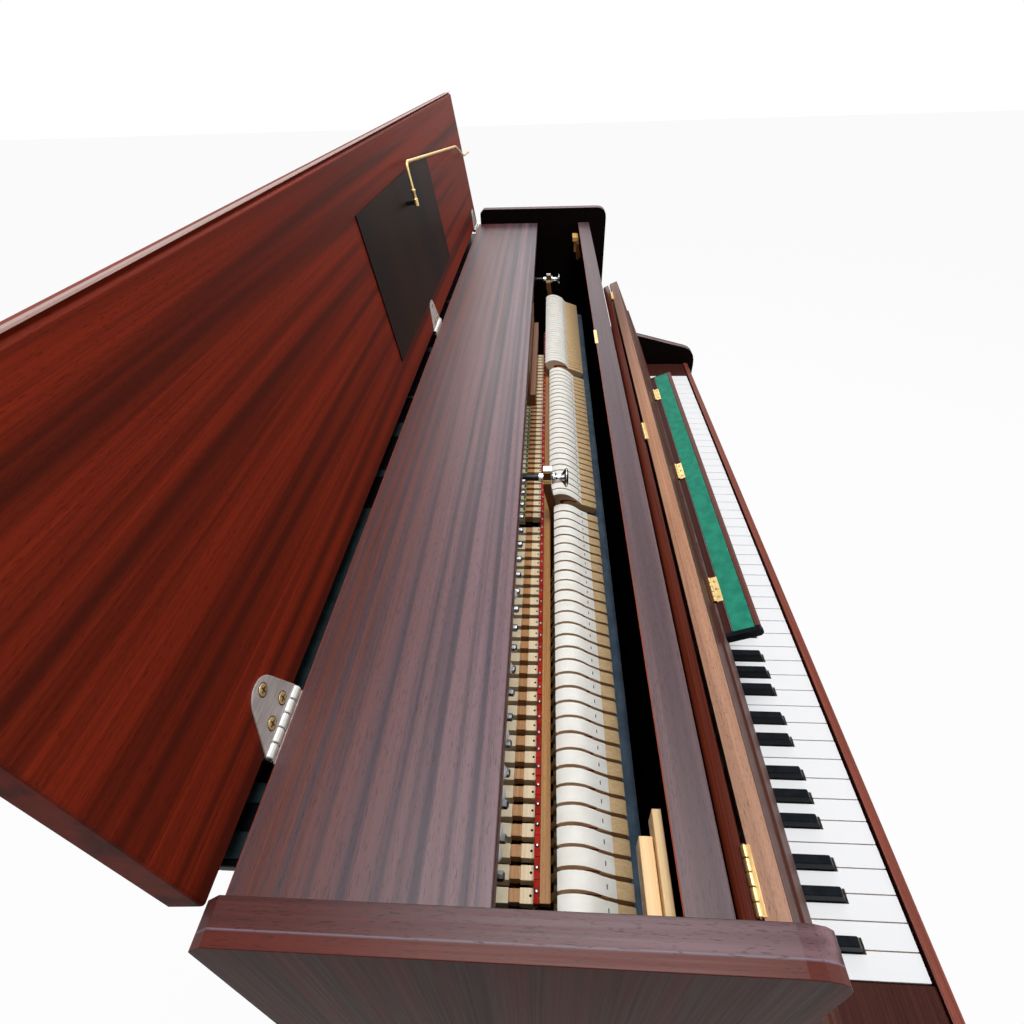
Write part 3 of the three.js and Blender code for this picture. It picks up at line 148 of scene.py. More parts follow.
class Paint:
    """A material in the making: its shader, and the nodes that feed it."""

    def __init__(self, name, roughness=0.5, metallic=0, specular=0.5, coat=0, coat_roughness=0.1, sheen=0):
        self.material = bpy.data.materials.new(name)
        self.material.use_nodes = True
        tree = self.material.node_tree
        self.nodes = tree.nodes
        self.links = tree.links
        self.shader = self.nodes["Principled BSDF"]
        settings = {
            "Roughness": roughness,
            "Metallic": metallic,
            "Specular IOR Level": specular,
            "Coat Weight": coat,
            "Coat Roughness": coat_roughness,
            "Sheen Weight": sheen,
            "Sheen Roughness": 0.5,
        }
        for socket, value in settings.items():
            self.shader.inputs[socket].default_value = value
        self.place = self.nodes.new("ShaderNodeTexCoord").outputs["Object"]

    def join(self, output, socket):
        self.links.new(output, socket)

    def noise(self, stretch, detail=2, roughness=0.5, distortion=0.0, turn=(0, 0, 0)):
        mapping = self.nodes.new("ShaderNodeMapping")
        mapping.inputs["Scale"].default_value = stretch
        mapping.inputs["Rotation"].default_value = turn
        self.join(self.place, mapping.inputs["Vector"])
        texture = self.nodes.new("ShaderNodeTexNoise")
        texture.inputs["Scale"].default_value = 1
        texture.inputs["Detail"].default_value = detail
        texture.inputs["Roughness"].default_value = roughness
        texture.inputs["Distortion"].default_value = distortion
        self.join(mapping.outputs["Vector"], texture.inputs["Vector"])
        return texture.outputs["Fac"]

    def ramp(self, value, *stops):
        node = self.nodes.new("ShaderNodeValToRGB")
        elements = node.color_ramp.elements
        while len(elements) < len(stops):
            elements.new(0.5)
        for element, (position, shade) in zip(elements, stops):
            element.position = position
            element.color = shade if isinstance(shade, tuple) else (shade, shade, shade, 1)
        self.join(value, node.inputs["Fac"])
        return node.outputs["Color"]

    def mix(self, factor, first, second, blend="MIX"):
        node = self.nodes.new("ShaderNodeMix")
        node.data_type = "RGBA"
        node.blend_type = blend
        for socket, value in ((node.inputs[0], factor), (node.inputs[6], first), (node.inputs[7], second)):
            if isinstance(value, bpy.types.NodeSocket):
                self.join(value, socket)
            else:
                socket.default_value = value
        return node.outputs[2]

    def past(self, axis, start, end, most=1.0):
        """Rises from 0 to most as a place along an axis, in millimetres, goes from start to end."""
        split = self.nodes.new("ShaderNodeSeparateXYZ")
        self.join(self.place, split.inputs["Vector"])
        step = self.nodes.new("ShaderNodeMapRange")
        step.inputs["From Min"].default_value = start * MM
        step.inputs["From Max"].default_value = end * MM
        step.inputs["To Max"].default_value = most
        self.join(split.outputs[axis.upper()], step.inputs["Value"])
        return step.outputs["Result"]

    def bump(self, height, distance, strength=1.0):
        node = self.nodes.new("ShaderNodeBump")
        node.inputs["Distance"].default_value = distance
        node.inputs["Strength"].default_value = strength
        self.join(height, node.inputs["Height"])
        self.join(node.outputs["Normal"], self.shader.inputs["Normal"])

    def colour_with(self, output):
        self.join(output, self.shader.inputs["Base Color"])
        return self.material

    def roughen(self, value, low, high):
        self.join(self.ramp(value, (0.3, low), (0.7, high)), self.shader.inputs["Roughness"])


def along(axis, lengthwise, across):
    return tuple(lengthwise if name == axis else across for name in "xyz")


def wood(
    name, light, dark, band=None, band_share=0.9, axis="x", gap=62, grain=0.35, pores=0.5, rough=(0.4, 0.5),
    zones=(), specular=0.2, coat=0
):
    """A veneer: broad ribbon bands, fine grain and short dark pores, all along one axis.

    A zone recolours what lies past a place along an axis: (axis, start, end, colour, share)."""
    paint = Paint(name, roughness=rough[0], specular=specular, coat=coat)
    fine = paint.noise(along(axis, 7, 620), detail=3, turn=(0, 0.05, 0.05))
    shade = paint.mix(paint.ramp(fine, (0.3, 0.0), (0.7, 1.0)), dark, light)
    for zone_axis, start, end, tint, share in zones:
        if abs(start - end) > 50:
            shade = paint.mix(paint.past(zone_axis, start, end, share), shade, tint)
    if band:
        ribbon = paint.noise(along(axis, 0.9, gap), detail=1.5, roughness=0.45, distortion=0.25)
        shade = paint.mix(paint.ramp(ribbon, (0.36, band_share), (0.57, 0.0)), shade, band)
    for zone_axis, start, end, tint, share in zones:
        if abs(start - end) <= 50:
            shade = paint.mix(paint.past(zone_axis, start, end, share), shade, tint)
    streaks = paint.noise(along(axis, 3, 150), detail=2)
    shade = paint.mix(grain, shade, paint.ramp(streaks, (0.3, 0.45), (0.7, 1.0)), "MULTIPLY")
    pits = paint.noise(along(axis, 190, 2100), detail=1)
    spots = paint.ramp(pits, (0.6, 0.0), (0.7, pores))
    shade = paint.mix(spots, shade, tuple(c * 0.25 for c in dark[:3]) + (1,))
    paint.roughen(fine, *rough)
    paint.bump(pits, 0.00006, 0.5)
    return paint.colour_with(shade)


def felt(name, light, dark, scale=1600, sheen=0.3, depth=0.0004, blotch=60, fleck=0.35):
    paint = Paint(name, roughness=0.95, specular=0.15, sheen=sheen)
    fibres = paint.noise((scale,) * 3, detail=4, roughness=0.7)
    cloud = paint.noise((blotch,) * 3, detail=2)
    shade = paint.mix(paint.ramp(cloud, (0.35, 0.0), (0.65, 1.0)), dark, light)
    shade = paint.mix(fleck, shade, paint.ramp(fibres, (0.3, 0.6), (0.7, 1.0)), "MULTIPLY")
    paint.bump(fibres, depth, 0.6)
    return paint.colour_with(shade)


def metal(name, light, dark, roughness=0.3, brush=(40, 900, 900), wear=0.25, metallic=1, depth=0.00003):
    paint = Paint(name, roughness=roughness, metallic=metallic)
    brushed = paint.noise(brush, detail=2)
    worn = paint.noise((120,) * 3, detail=3)
    shade = paint.mix(paint.ramp(brushed, (0.3, 0.0), (0.7, 1.0)), dark, light)
    shade = paint.mix(wear, shade, paint.ramp(worn, (0.3, 0.45), (0.7, 1.0)), "MULTIPLY")
    paint.roughen(worn, roughness * 0.8, roughness * 1.3)
    paint.bump(brushed, depth, 0.3)
    return paint.colour_with(shade)


def lacquer(name, light, dark, roughness=0.2, coat=0.4, specular=0.5, ripple_depth=0.00002):
    paint = Paint(name, roughness=roughness, coat=coat, coat_roughness=0.08, specular=specular)
    cloud = paint.noise((90,) * 3, detail=3)
    ripple = paint.noise((700,) * 3, detail=2)
    paint.roughen(cloud, roughness * 0.8, roughness * 1.25)
    paint.bump(ripple, ripple_depth, 0.2)
    return paint.colour_with(paint.mix(paint.ramp(cloud, (0.3, 0.0), (0.7, 1.0)), dark, light))


LID_RED = wood(
    "lid_red", colour(132, 42, 21), colour(104, 31, 16), band=colour(70, 23, 13), rough=(0.45, 0.55), specular=0.05
)
# Rear top board. Its first zone, a mauve-grey tint rising towards the front, is painted sheen, and the slate-blue tint
# of its bands is painted reflection of the sky; the bands' pattern is the wood's figure.
BOARD = wood(
    "board_mauve",
    colour(102, 54, 46),
    colour(77, 41, 37),
    band=colour(58, 52, 62),
    band_share=0.8,
    gap=150,
    grain=0.3,
    pores=0.5,
    rough=(0.38, 0.5),
    zones=[
        ("y", 226, 128, colour(128, 106, 114), 0.72),
        ("y", 239, 240.5, colour(150, 62, 34), 1),
        ("y", 108, 107, colour(58, 22, 18), 1),
    ],
    specular=0.3,
)
# Painted shade: near-black for the rear faces of the upper front panel, so that the space behind it reads as a dark
# void.
PANEL_BACK_SHADE = wood("panel_back_painted_shade", colour(8, 5, 4), colour(5, 3, 3), axis="z", pores=0.3, rough=(0.7, 0.8), specular=0)
# Painted shade: near-black wood for the faces of the side panels that look into the case.
CASE_INSIDE_SHADE = wood("case_inside_painted_shade", colour(18, 11, 9), colour(12, 7, 6), axis="z", pores=0.3, rough=(0.5, 0.6), specular=0.02)
# Top faces of the side panels: a lighter, mauve copy of the case wood, which is painted sheen. In each, the first zone
# adds painted sheen that grows towards the front. The second is a thin painted highlight line along the outer edge.
# The third gives the outermost strip the darker side colour, as painted shade where the rounded edge turns away from
# the light.
SHEEN_TOP_BASS, SHEEN_TOP_TREBLE = (
    wood(
        "side_top_sheen_" + end,
        colour(94, 44, 38),
        colour(70, 32, 30),
        band=colour(58, 28, 26),
        axis="y",
        gap=110,
        pores=0.6,
        rough=(0.34, 0.46),
        zones=[("y", 190, 20, colour(130, 100, 108), 0.85), ("x", line, line + 0.4 * out, colour(140, 132, 148), 0.5), ("x", line + 0.5 * out, line + 1.3 * out, tint, 1)],
        specular=0.2,
    )
    for end, line, out, tint in (("bass", -693.4, -1, colour(86, 28, 16)), ("treble", 693.4, 1, colour(70, 40, 38)))
)
CASE_SIDE = wood("case_side", colour(86, 32, 21), colour(62, 22, 14), band=colour(46, 16, 11), axis="z", rough=(0.4, 0.5), specular=0.06)
PANEL_RED = wood("panel_red", colour(98, 36, 23), colour(70, 24, 15), band=colour(50, 18, 13), rough=(0.4, 0.5), specular=0.06)
# Top faces of the key slip: a lighter copy of the panel red, painted light on the faces that look up.
SLIP_TOP_LIT = wood("slip_top_painted_light", colour(146, 74, 56), colour(110, 52, 40), rough=(0.35, 0.45))
# Top of the upper front panel: a mauve-grey copy of the panel wood, painted sheen where the top faces the sky.
CAP_SHEEN = wood(
    "cap_painted_sheen",
    colour(108, 84, 86),
    colour(86, 64, 68),
    band=colour(78, 60, 66),
    gap=110,
    pores=0.6,
    rough=(0.36, 0.48),
    zones=[("y", 14.2, 15.2, colour(160, 70, 40), 1)],
    specular=0.26,
)
EDGE = wood("edge_orange", colour(190, 96, 54), colour(150, 68, 38), rough=(0.35, 0.5))
# Top edge of the keyboard cover. Its two zones are painted sheen: paler towards the bass end, greyer and darker
# towards the treble end.
FALL_TOP = wood("fall_top", colour(208, 156, 122), colour(176, 122, 92), band=colour(156, 106, 82), pores=0.6, gap=90, rough=(0.35, 0.5), grain=0.5, zones=[("x", 60, 640, colour(120, 92, 86), 0.9), ("x", -200, -680, colour(206, 164, 142), 0.7)])
FALL_FACE = wood("fall_face", colour(104, 62, 50), colour(78, 42, 34), band=colour(60, 32, 26), rough=(0.4, 0.5), specular=0.06)
LIP_BROWN = wood(
    "lip_brown", colour(104, 42, 26), colour(84, 32, 20), grain=0.15, pores=0.1, rough=(0.26, 0.34), coat=0.3, specular=0.3
)
SHELF_EDGE = wood("shelf_edge", colour(116, 64, 54), colour(88, 44, 38), rough=(0.35, 0.45), specular=0.15)
SHELF_WOOD = wood("shelf_wood", colour(78, 40, 34), colour(54, 27, 23), rough=(0.35, 0.5), specular=0.06)
DARK_WOOD = wood("dark_wood", colour(36, 20, 16), colour(24, 13, 11), rough=(0.4, 0.5), specular=0.04)
MAPLE = wood("maple", colour(246, 218, 172), colour(228, 192, 140), pores=0.15, grain=0.15, rough=(0.4, 0.5))
BUTTON_WOOD = wood("button_wood", colour(255, 206, 132), colour(240, 180, 104), pores=0.1, grain=0.1)
SLAT = wood("slat_wood", colour(255, 222, 170), colour(240, 196, 138), pores=0.15, grain=0.15, rough=(0.4, 0.5))
LID_EDGE = wood("lid_edge", colour(176, 146, 138), colour(154, 122, 114), pores=0.2, rough=(0.35, 0.45))
BARREL = wood("damper_barrel", colour(246, 228, 194), colour(230, 208, 168), pores=0.1, grain=0.1, rough=(0.4, 0.5))
MAPLE_UP = wood("maple_up", colour(240, 208, 162), colour(220, 182, 130), axis="z", pores=0.15, grain=0.2)
TAIL = wood("hammer_wood", colour(236, 204, 158), colour(220, 184, 136), axis="y", pores=0.1, grain=0.1)
GOLD_RAIL = wood("gold_rail", colour(190, 140, 84), colour(160, 110, 60), pores=0.4, grain=0.25, rough=(0.4, 0.5))
BLOCK = wood("damper_block", colour(214, 164, 114), colour(182, 132, 84), pores=0.3, grain=0.2)
BACK_WOOD = wood("back_wood", colour(196, 154, 104), colour(168, 124, 78), axis="z", pores=0.3, rough=(0.55, 0.7))
SPRUCE = wood("spruce", colour(214, 176, 116), colour(186, 142, 84), axis="z", pores=0.1, rough=(0.4, 0.5), coat=0.2)
POST = wood("post_brown", colour(132, 84, 46), colour(98, 58, 30), axis="z", pores=0.4)
FELT = felt("hammer_felt", colour(253, 252, 246), colour(246, 243, 234), fleck=0.16)
# Side faces of the hammer felt: a tan copy of the felt, painted shade where the sides turn from the light.
FELT_SHADED_SIDE = felt("felt_side_painted_shade", colour(255, 234, 202), colour(244, 214, 176))
PAD = felt("damper_felt", colour(250, 238, 210), colour(236, 220, 186))
RED_FELT = felt("red_felt", colour(190, 44, 34), colour(140, 26, 20), sheen=0.1)
GREEN_FELT = felt("green_felt", colour(62, 132, 72), colour(38, 92, 50), sheen=0.2)
BLUE_FELT = felt("rail_cloth", colour(104, 126, 146), colour(84, 104, 124), sheen=0.1)
TEAL_FELT = felt("gap_cloth", colour(52, 72, 76), colour(38, 54, 58), sheen=0.05)
BAIZE = felt("baize_green", colour(42, 150, 122), colour(32, 130, 106), scale=700, sheen=0.2, blotch=90)
NICKEL = metal("satin_nickel", colour(222, 220, 216), colour(196, 193, 190), roughness=0.36, metallic=0.6, wear=0.12)
CHROME = metal("chrome", colour(232, 234, 236), colour(206, 208, 212), roughness=0.12, wear=0.1)
BRASS = metal("brass", colour(240, 212, 150), colour(222, 188, 122), roughness=0.38, metallic=0.8, wear=0.1, depth=0.000003)
DOME_SILVER = metal("dome_silver", colour(240, 240, 242), colour(222, 222, 226), roughness=0.3, metallic=0.3, wear=0.05, depth=0.000005)
IRON_PAINT = metal("plate_paint", colour(176, 140, 78), colour(150, 114, 58), roughness=0.45, metallic=0.6)
STEEL = metal("steel", colour(176, 178, 182), colour(140, 142, 146), roughness=0.28)
COPPER = metal("copper_wound", colour(196, 118, 80), colour(156, 84, 52), roughness=0.35, brush=(900, 900, 2600))
# Blackened steel for small fittings; in screw heads it is also painted shade, in the cut and in a ring round the head.
BLACK_METAL_AND_SLOT_SHADE = metal("blackened_and_slot_shade", colour(46, 46, 48), colour(26, 26, 28), roughness=0.35, metallic=0.7)
IVORY = lacquer("ivory_white", colour(236, 237, 239), colour(235, 236, 238), roughness=0.4, coat=0, specular=0.2, ripple_depth=0.000002)
EBONY = lacquer("ebony", colour(24, 28, 34), colour(16, 19, 23), roughness=0.22, coat=0.0, specular=0.05)
# A black disc stands for the hole in each damper barrel: painted shade.
HOLE_SHADE = lacquer("hole_painted_shade", colour(12, 9, 8), colour(6, 5, 4), roughness=0.8, coat=0, specular=0.1)


def plaque_finish():
    paint = Paint("plaque_dark", roughness=0.45, specular=0.03)
    lines = paint.noise((900, 60, 18), detail=3)
    glow = paint.noise((9, 3, 3), detail=1)
    shade = paint.mix(paint.ramp(glow, (0.42, 0.0), (0.62, 1.0)), colour(34, 25, 24), colour(44, 29, 23))
    shade = paint.mix(0.5, shade, paint.ramp(lines, (0.3, 0.55), (0.7, 1.0)), "MULTIPLY")
    paint.bump(lines, 0.00005, 0.4)
    return paint.colour_with(shade)


PLAQUE = plaque_finish()


# Shapes


class Tilt:
    """Depth and height on a piece that leans about an axis along X, by degrees towards the front."""

    def __init__(self, depth=0, height=0, degrees=0):
        self.depth = depth
        self.height = height
        self.cos = math.cos(math.radians(degrees))
        self.sin = math.sin(math.radians(degrees))

    def at(self, x, out, up):
        depth = self.depth + out * self.cos + up * self.sin
        height = self.height - out * self.sin + up * self.cos
        return Vector((x, REAR - depth, height)) * MM


LEVEL = Tilt()


class Form:
    """Corners and faces of a piece, each face with the number of its material."""

    def __init__(self):
        self.corners = []
        self.faces = []
        self.finishes = []

    def face(self, numbers, finish):
        self.faces.append(tuple(numbers))
        self.finishes.append(finish)

    def skin(self, rings, finish=0, ends=None):
        first = len(self.corners)
        count = len(rings[0])
        for ring in rings:
            self.corners.extend(ring)
        for row in range(len(rings) - 1):
            start = first + row * count
            for i in range(count):
                j = (i + 1) % count
                self.face((start + i, start + j, start + count + j, start + count + i), finish)
        last = first + (len(rings) - 1) * count
        ends = finish if ends is None else ends
        self.face([first + i for i in range(count)], ends)
        self.face([last + i for i in range(count)], ends)

    def along_x(self, outline, span, tilt=LEVEL, finish=0, ends=None):
        """A side view in depth and height, drawn out along X."""
        self.skin([[tilt.at(x, d, h) for d, h in outline] for x in span], finish, ends)

    def upright(self, plan, span, tilt=LEVEL, finish=0, ends=None):
        """A plan in X and depth, drawn out in height."""
        self.skin([[tilt.at(x, d, h) for x, d in plan] for h in span], finish, ends)

    def facing(self, view, span, tilt=LEVEL, finish=0, ends=None):
        """A front view in X and height, drawn out in depth."""
        self.skin([[tilt.at(x, d, h) for x, h in view] for d in span], finish, ends)

    def block(self, x, depth, height, tilt=LEVEL, finish=0):
        self.along_x(box_outline(depth, height), x, tilt, finish)

    def turned(self, profile, centre, axis, tilt=LEVEL, finish=0, sides=20):
        """A turned form: a profile of steps along an axis and the radius at each."""
        rings = []
        for step, radius in profile:
            ring = []
            for i in range(sides):
                angle = 2 * math.pi * i / sides
                p, q = radius * math.cos(angle), radius * math.sin(angle)
                offset = {"x": (step, p, q), "out": (p, step, q), "up": (p, q, step)}[axis]
                ring.append(tilt.at(*(c + o for c, o in zip(centre, offset))))
            rings.append(ring)
        self.skin(rings, finish)

    def tube(self, points, radius, finish=0, sides=10):
        """A round wire along points given in metres."""
        side = Vector((0, 1, 0.3)).normalized()
        rings = []
        for i, point in enumerate(points):
            heading = (points[min(i + 1, len(points) - 1)] - points[max(i - 1, 0)]).normalized()
            side = (side - heading * side.dot(heading)).normalized()
            other = heading.cross(side)
            ring = []
            for k in range(sides):
                angle = 2 * math.pi * k / sides
                ring.append(point + (side * math.cos(angle) + other * math.sin(angle)) * radius * MM)
            rings.append(ring)
        self.skin(rings, finish)

    def screw(self, centre, axis, radius, tilt=LEVEL, finish=0, recess_shade_finish=1, sense=1):
        """A domed screw head with a cross cut in it. The cut and a thin ring round the head are raised pieces in a
        dark finish: painted shade of the slot and the countersink.
        """
        ring = [(0, radius * 1.14), (radius * 0.03, radius * 1.14)]
        self.turned([(sense * s, r) for s, r in ring], centre, axis, tilt, recess_shade_finish, 18)
        dome = [(0, radius), (radius * 0.08, radius * 0.94), (radius * 0.13, radius * 0.6), (radius * 0.15, radius * 0.2)]
        self.turned([(sense * s, r) for s, r in dome], centre, axis, tilt, finish, 18)
        reach, half = radius * 0.6, radius * 0.12
        levels = (sense * radius * 0.08, sense * radius * 0.175)
        for one, two in (((-reach, reach), (-half, half)), ((-half, half), (-reach, reach))):
            if axis == "up":
                plan = box_outline([centre[0] + o for o in one], [centre[1] + t for t in two])
                self.upright(plan, [centre[2] + level for level in levels], tilt, recess_shade_finish)
            else:
                view = box_outline([centre[0] + o for o in one], [centre[2] + t for t in two])
                self.facing(view, [centre[1] + level for level in levels], tilt, recess_shade_finish)


def box_outline(first, second):
    return [(first[0], second[0]), (first[1], second[0]), (first[1], second[1]), (first[0], second[1])]


def arc(centre, radius, start, end, steps=8):
    points = []
    for i in range(steps + 1):
        angle = math.radians(start + (end - start) * i / steps)
        points.append((centre[0] + radius * math.cos(angle), centre[1] + radius * math.sin(angle)))
    return points


def centred(middle, width):
    return (middle - width / 2, middle + width / 2)


def add_bevel(piece, width):
    bevel = piece.modifiers.new("edges", "BEVEL")
    bevel.width = width * MM
    bevel.segments = 5 if width > 3 else 2
    bevel.limit_method = "ANGLE"
    bevel.angle_limit = math.radians(38)
    normals = piece.modifiers.new("normals", "WEIGHTED_NORMAL")
    normals.keep_sharp = True


def make(form, name, body, materials, bevel=0, stands_for=(), smooth=35):
    mesh = bpy.data.meshes.new(name)
    mesh.from_pydata(form.corners, [], form.faces)
    for material in materials:
        mesh.materials.append(material)
    for polygon, finish in zip(mesh.polygons, form.finishes):
        polygon.material_index = finish
    tidy = bmesh.new()
    tidy.from_mesh(mesh)
    bmesh.ops.recalc_face_normals(tidy, faces=tidy.faces)
    tidy.to_mesh(mesh)
    tidy.free()
    mesh.shade_smooth()
    piece = bpy.data.objects.new(name, mesh)
    bpy.context.scene.collection.objects.link(piece)
    if bevel:
        add_bevel(piece, bevel)
    else:
        mesh.set_sharp_from_angle(angle=math.radians(smooth))
    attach(piece, body)
    if stands_for:
        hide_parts(*stands_for)
    return piece


def dress(node, material, bevel=0):
    """Gives a CAD node its finish, and softens its edges."""
    piece = nodes[node]
    piece.data.materials[0] = material
    if bevel:
        weld = piece.modifiers.new("weld", "WELD")
        weld.merge_threshold = 0.01 * MM
        add_bevel(piece, bevel)


def face_by_face(node, materials, bevel, choose):
    """As dress, but each face takes the material that choose names from its place and its heading."""
    dress(node, materials[0], bevel)
    mesh = nodes[node].data
    for material in materials[1:]:
        mesh.materials.append(material)
    turn = nodes[node].matrix_world
    for polygon in mesh.polygons:
        polygon.material_index = choose((turn @ polygon.center) / MM, turn.to_3x3() @ polygon.normal)


# Case: the nodes whose shape is right keep it, with their edges eased

EASED = {
    CASE_SIDE: {"leg_bass": 1.5, "leg_treble": 1.5},
    PANEL_RED: {"lower_front_panel": 1.5, },
    SHELF_WOOD: {"key_block_bass": 1.5, "key_block_treble": 1.5, "bottom_board": 1},
    DARK_WOOD: {"nameboard_rail": 1, "keybed": 1},
    BACK_WOOD: {"back_frame": 2},
    SPRUCE: {"soundboard": 0.6},
    MAPLE: {"pin_block": 0.6, "bass_bridge": 0.8, "treble_bridge": 0.8, "key_frame": 0.4, "action_rail": 0.6},
    MAPLE_UP: {"dowel_soft": 0.6, "dowel_sustain": 0.6},
    GOLD_RAIL: {"trap_lever_soft": 0.8, "trap_lever_sustain": 0.8, "damper_stop_rail": 0.5},
    BOARD: {"rear_top_board": 1},
    LID_RED: {"lid": 1.5},
    PLAQUE: {"lid_plaque": 0.2},
    IRON_PAINT: {"iron_plate": 2.5},
    BRASS: {"pedal_soft": 1.8, "pedal_sustain": 1.8},
    FALL_FACE: {"fallboard": 1.2},
    LIP_BROWN: {"music_lip": 6},
}
for finish, eased in EASED.items():
    for node, width in eased.items():
        dress(node, finish, width)


def finish_case():
    height = extent("side_panel_bass")[2][1]
    for end, outward, top in (("bass", -1, SHEEN_TOP_BASS), ("treble", 1, SHEEN_TOP_TREBLE)):
        # Top faces take the painted sheen copy of the case wood, and faces that look into the case the painted shade.
        face_by_face(
            "side_panel_" + end,
            [CASE_SIDE, top, CASE_INSIDE_SHADE],
            1.6,
            lambda place, heading: 2 if heading.x * outward < -0.7 else int(heading.z > 0.12),
        )
    # Top faces near the top of the upper front panel take the cap's painted sheen, and its rear faces painted shade.
    face_by_face(
        "upper_front_panel",
        [PANEL_RED, CAP_SHEEN, PANEL_BACK_SHADE],
        1,
        lambda place, heading: 1 if heading.z > 0.7 and place.z > height - 40 else 2 * (heading.y > 0.5),
    )
    # The key slip's top faces take the lighter red, painted light.
    face_by_face("key_slip", [PANEL_RED, SLIP_TOP_LIT], 1.2, lambda place, heading: int(heading.z > 0.3))


finish_case()


# Action


def hammer_tilt():
    anchor = next(joint for joint in frame["joints"] if joint["name"] == "hammers_bass_blow")["pos_m"]
    return Tilt(REAR - anchor[1] / MM, anchor[2] / MM, 20)


HAMMER_TILT = hammer_tilt()
SHANK = 112
HAMMER_BANKS = {
    "hammers_bass": {"count": 30, "reach": 46, "width": 12.1, "felt_start": -3.5, "swell": 0.9},
    "hammers_middle": {"count": 27, "reach": 52, "width": 11.2, "felt_start": -10, "swell": 1.04},
    "hammers_treble": {"count": 31, "reach": 60, "width": 9.6, "felt_start": -18, "swell": 1.04},
}


WOOD_HALF = 4.6
TAIL_END = 11


def felt_outline(reach, swell, felt_start):
    """The felt's side view, from the wood's upper face over the nose and back below it."""
    shape = [(-0.32, 8), (-0.44, 10.2), (-0.56, 11.6), (-0.67, 11.8), (-0.78, 10.6), (-0.88, 8), (-0.96, 4), (-1.0, 0)]
    shape = [(a * reach, b * swell) for a, b in shape]
    upper = [(felt_start, WOOD_HALF + 0.4)] + [(a, b) for a, b in shape if a < felt_start - 4]
    lower = [(a, -b) for a, b in reversed(upper[:-1])]
    return [(a, SHANK + b) for a, b in upper + lower]


def hammer_bank(name, count, reach, width, felt_start, swell):
    (start, end), _, _ = extent(name)
    form = Form()
    step = (end - start - width + 1.6) / (count - 1)
    for i in range(count):
        left = start + i * step - 0.8 + rng.uniform(-0.2, 0.2)
        span = (left, left + width)
        wood_span = (span[0] + 0.25, span[1] - 0.25)
        swell -= 0.002
        # The felt's side faces take the tan painted shade.
        form.along_x(felt_outline(reach, swell, felt_start), span, HAMMER_TILT, 0, 1)
        lining = [(a * reach, b) for a, b in ((-0.34, 6.8), (-0.48, 6.3), (-0.6, 5), (-0.69, 2.8), (-0.73, 0.6))]
        lining += [(a, -b) for a, b in reversed(lining)]
        form.along_x([(a, SHANK + b) for a, b in lining], (span[0] - 0.1, span[1] + 0.1), HAMMER_TILT, 3)
        tail = [(TAIL_END, 3.6), (TAIL_END - 3, WOOD_HALF), (felt_start - 0.5, WOOD_HALF)]
        tail += [(a, -b) for a, b in reversed(tail)]
        form.along_x([(a, SHANK + b) for a, b in tail], wood_span, HAMMER_TILT, 2)
        tip = [(felt_start - 0.5, 4.6)] + [(a * reach, b) for a, b in ((-0.34, 4.6), (-0.47, 4.2), (-0.57, 3), (-0.64, 0.6))]
        tip += [(a, -b) for a, b in reversed(tip)]
        form.along_x([(a, SHANK + b) for a, b in tip], (span[0] - 0.15, span[1] + 0.15), HAMMER_TILT, 2)
        middle = (span[0] + span[1]) / 2
        face = felt_outline(reach, swell, felt_start)
        share = 0.7
        spot = [share * a + (1 - share) * b for a, b in zip(face[1], face[0])]
        staple = [HAMMER_TILT.at(middle + a, spot[0], spot[1] + 0.1) for a in (-1.6, 1.6)]
        form.tube(staple, 0.4, 4, 6)
        form.turned([(6, 2.7), (SHANK - WOOD_HALF + 0.5, 2.7)], (middle, 0, 0), "up", HAMMER_TILT, 2, 10)
        butt = [(-6, -5), (6, -5), (6.4, 12), (3, 22), (-3, 22), (-6, 8)]
        form.along_x(butt, (middle - 3.4, middle + 3.4), HAMMER_TILT, 2)
    form.turned([(start, 1.4), (end, 1.4)], (0, 0, 0), "x", HAMMER_TILT, 4, 8)
    make(form, name + "_detail", name, [FELT, FELT_SHADED_SIDE, TAIL, RED_FELT, BLACK_METAL_AND_SLOT_SHADE], 1.1, [name])


for bank, sizes in HAMMER_BANKS.items():
    hammer_bank(bank, **sizes)

DAMPER_AXIS = 147
DAMPER_BANKS = {
    "dampers_bass": {"count": 28, "width": 10.4, "wedge": False},
    "dampers_middle": {"count": 40, "width": 8.4, "wedge": True},
}


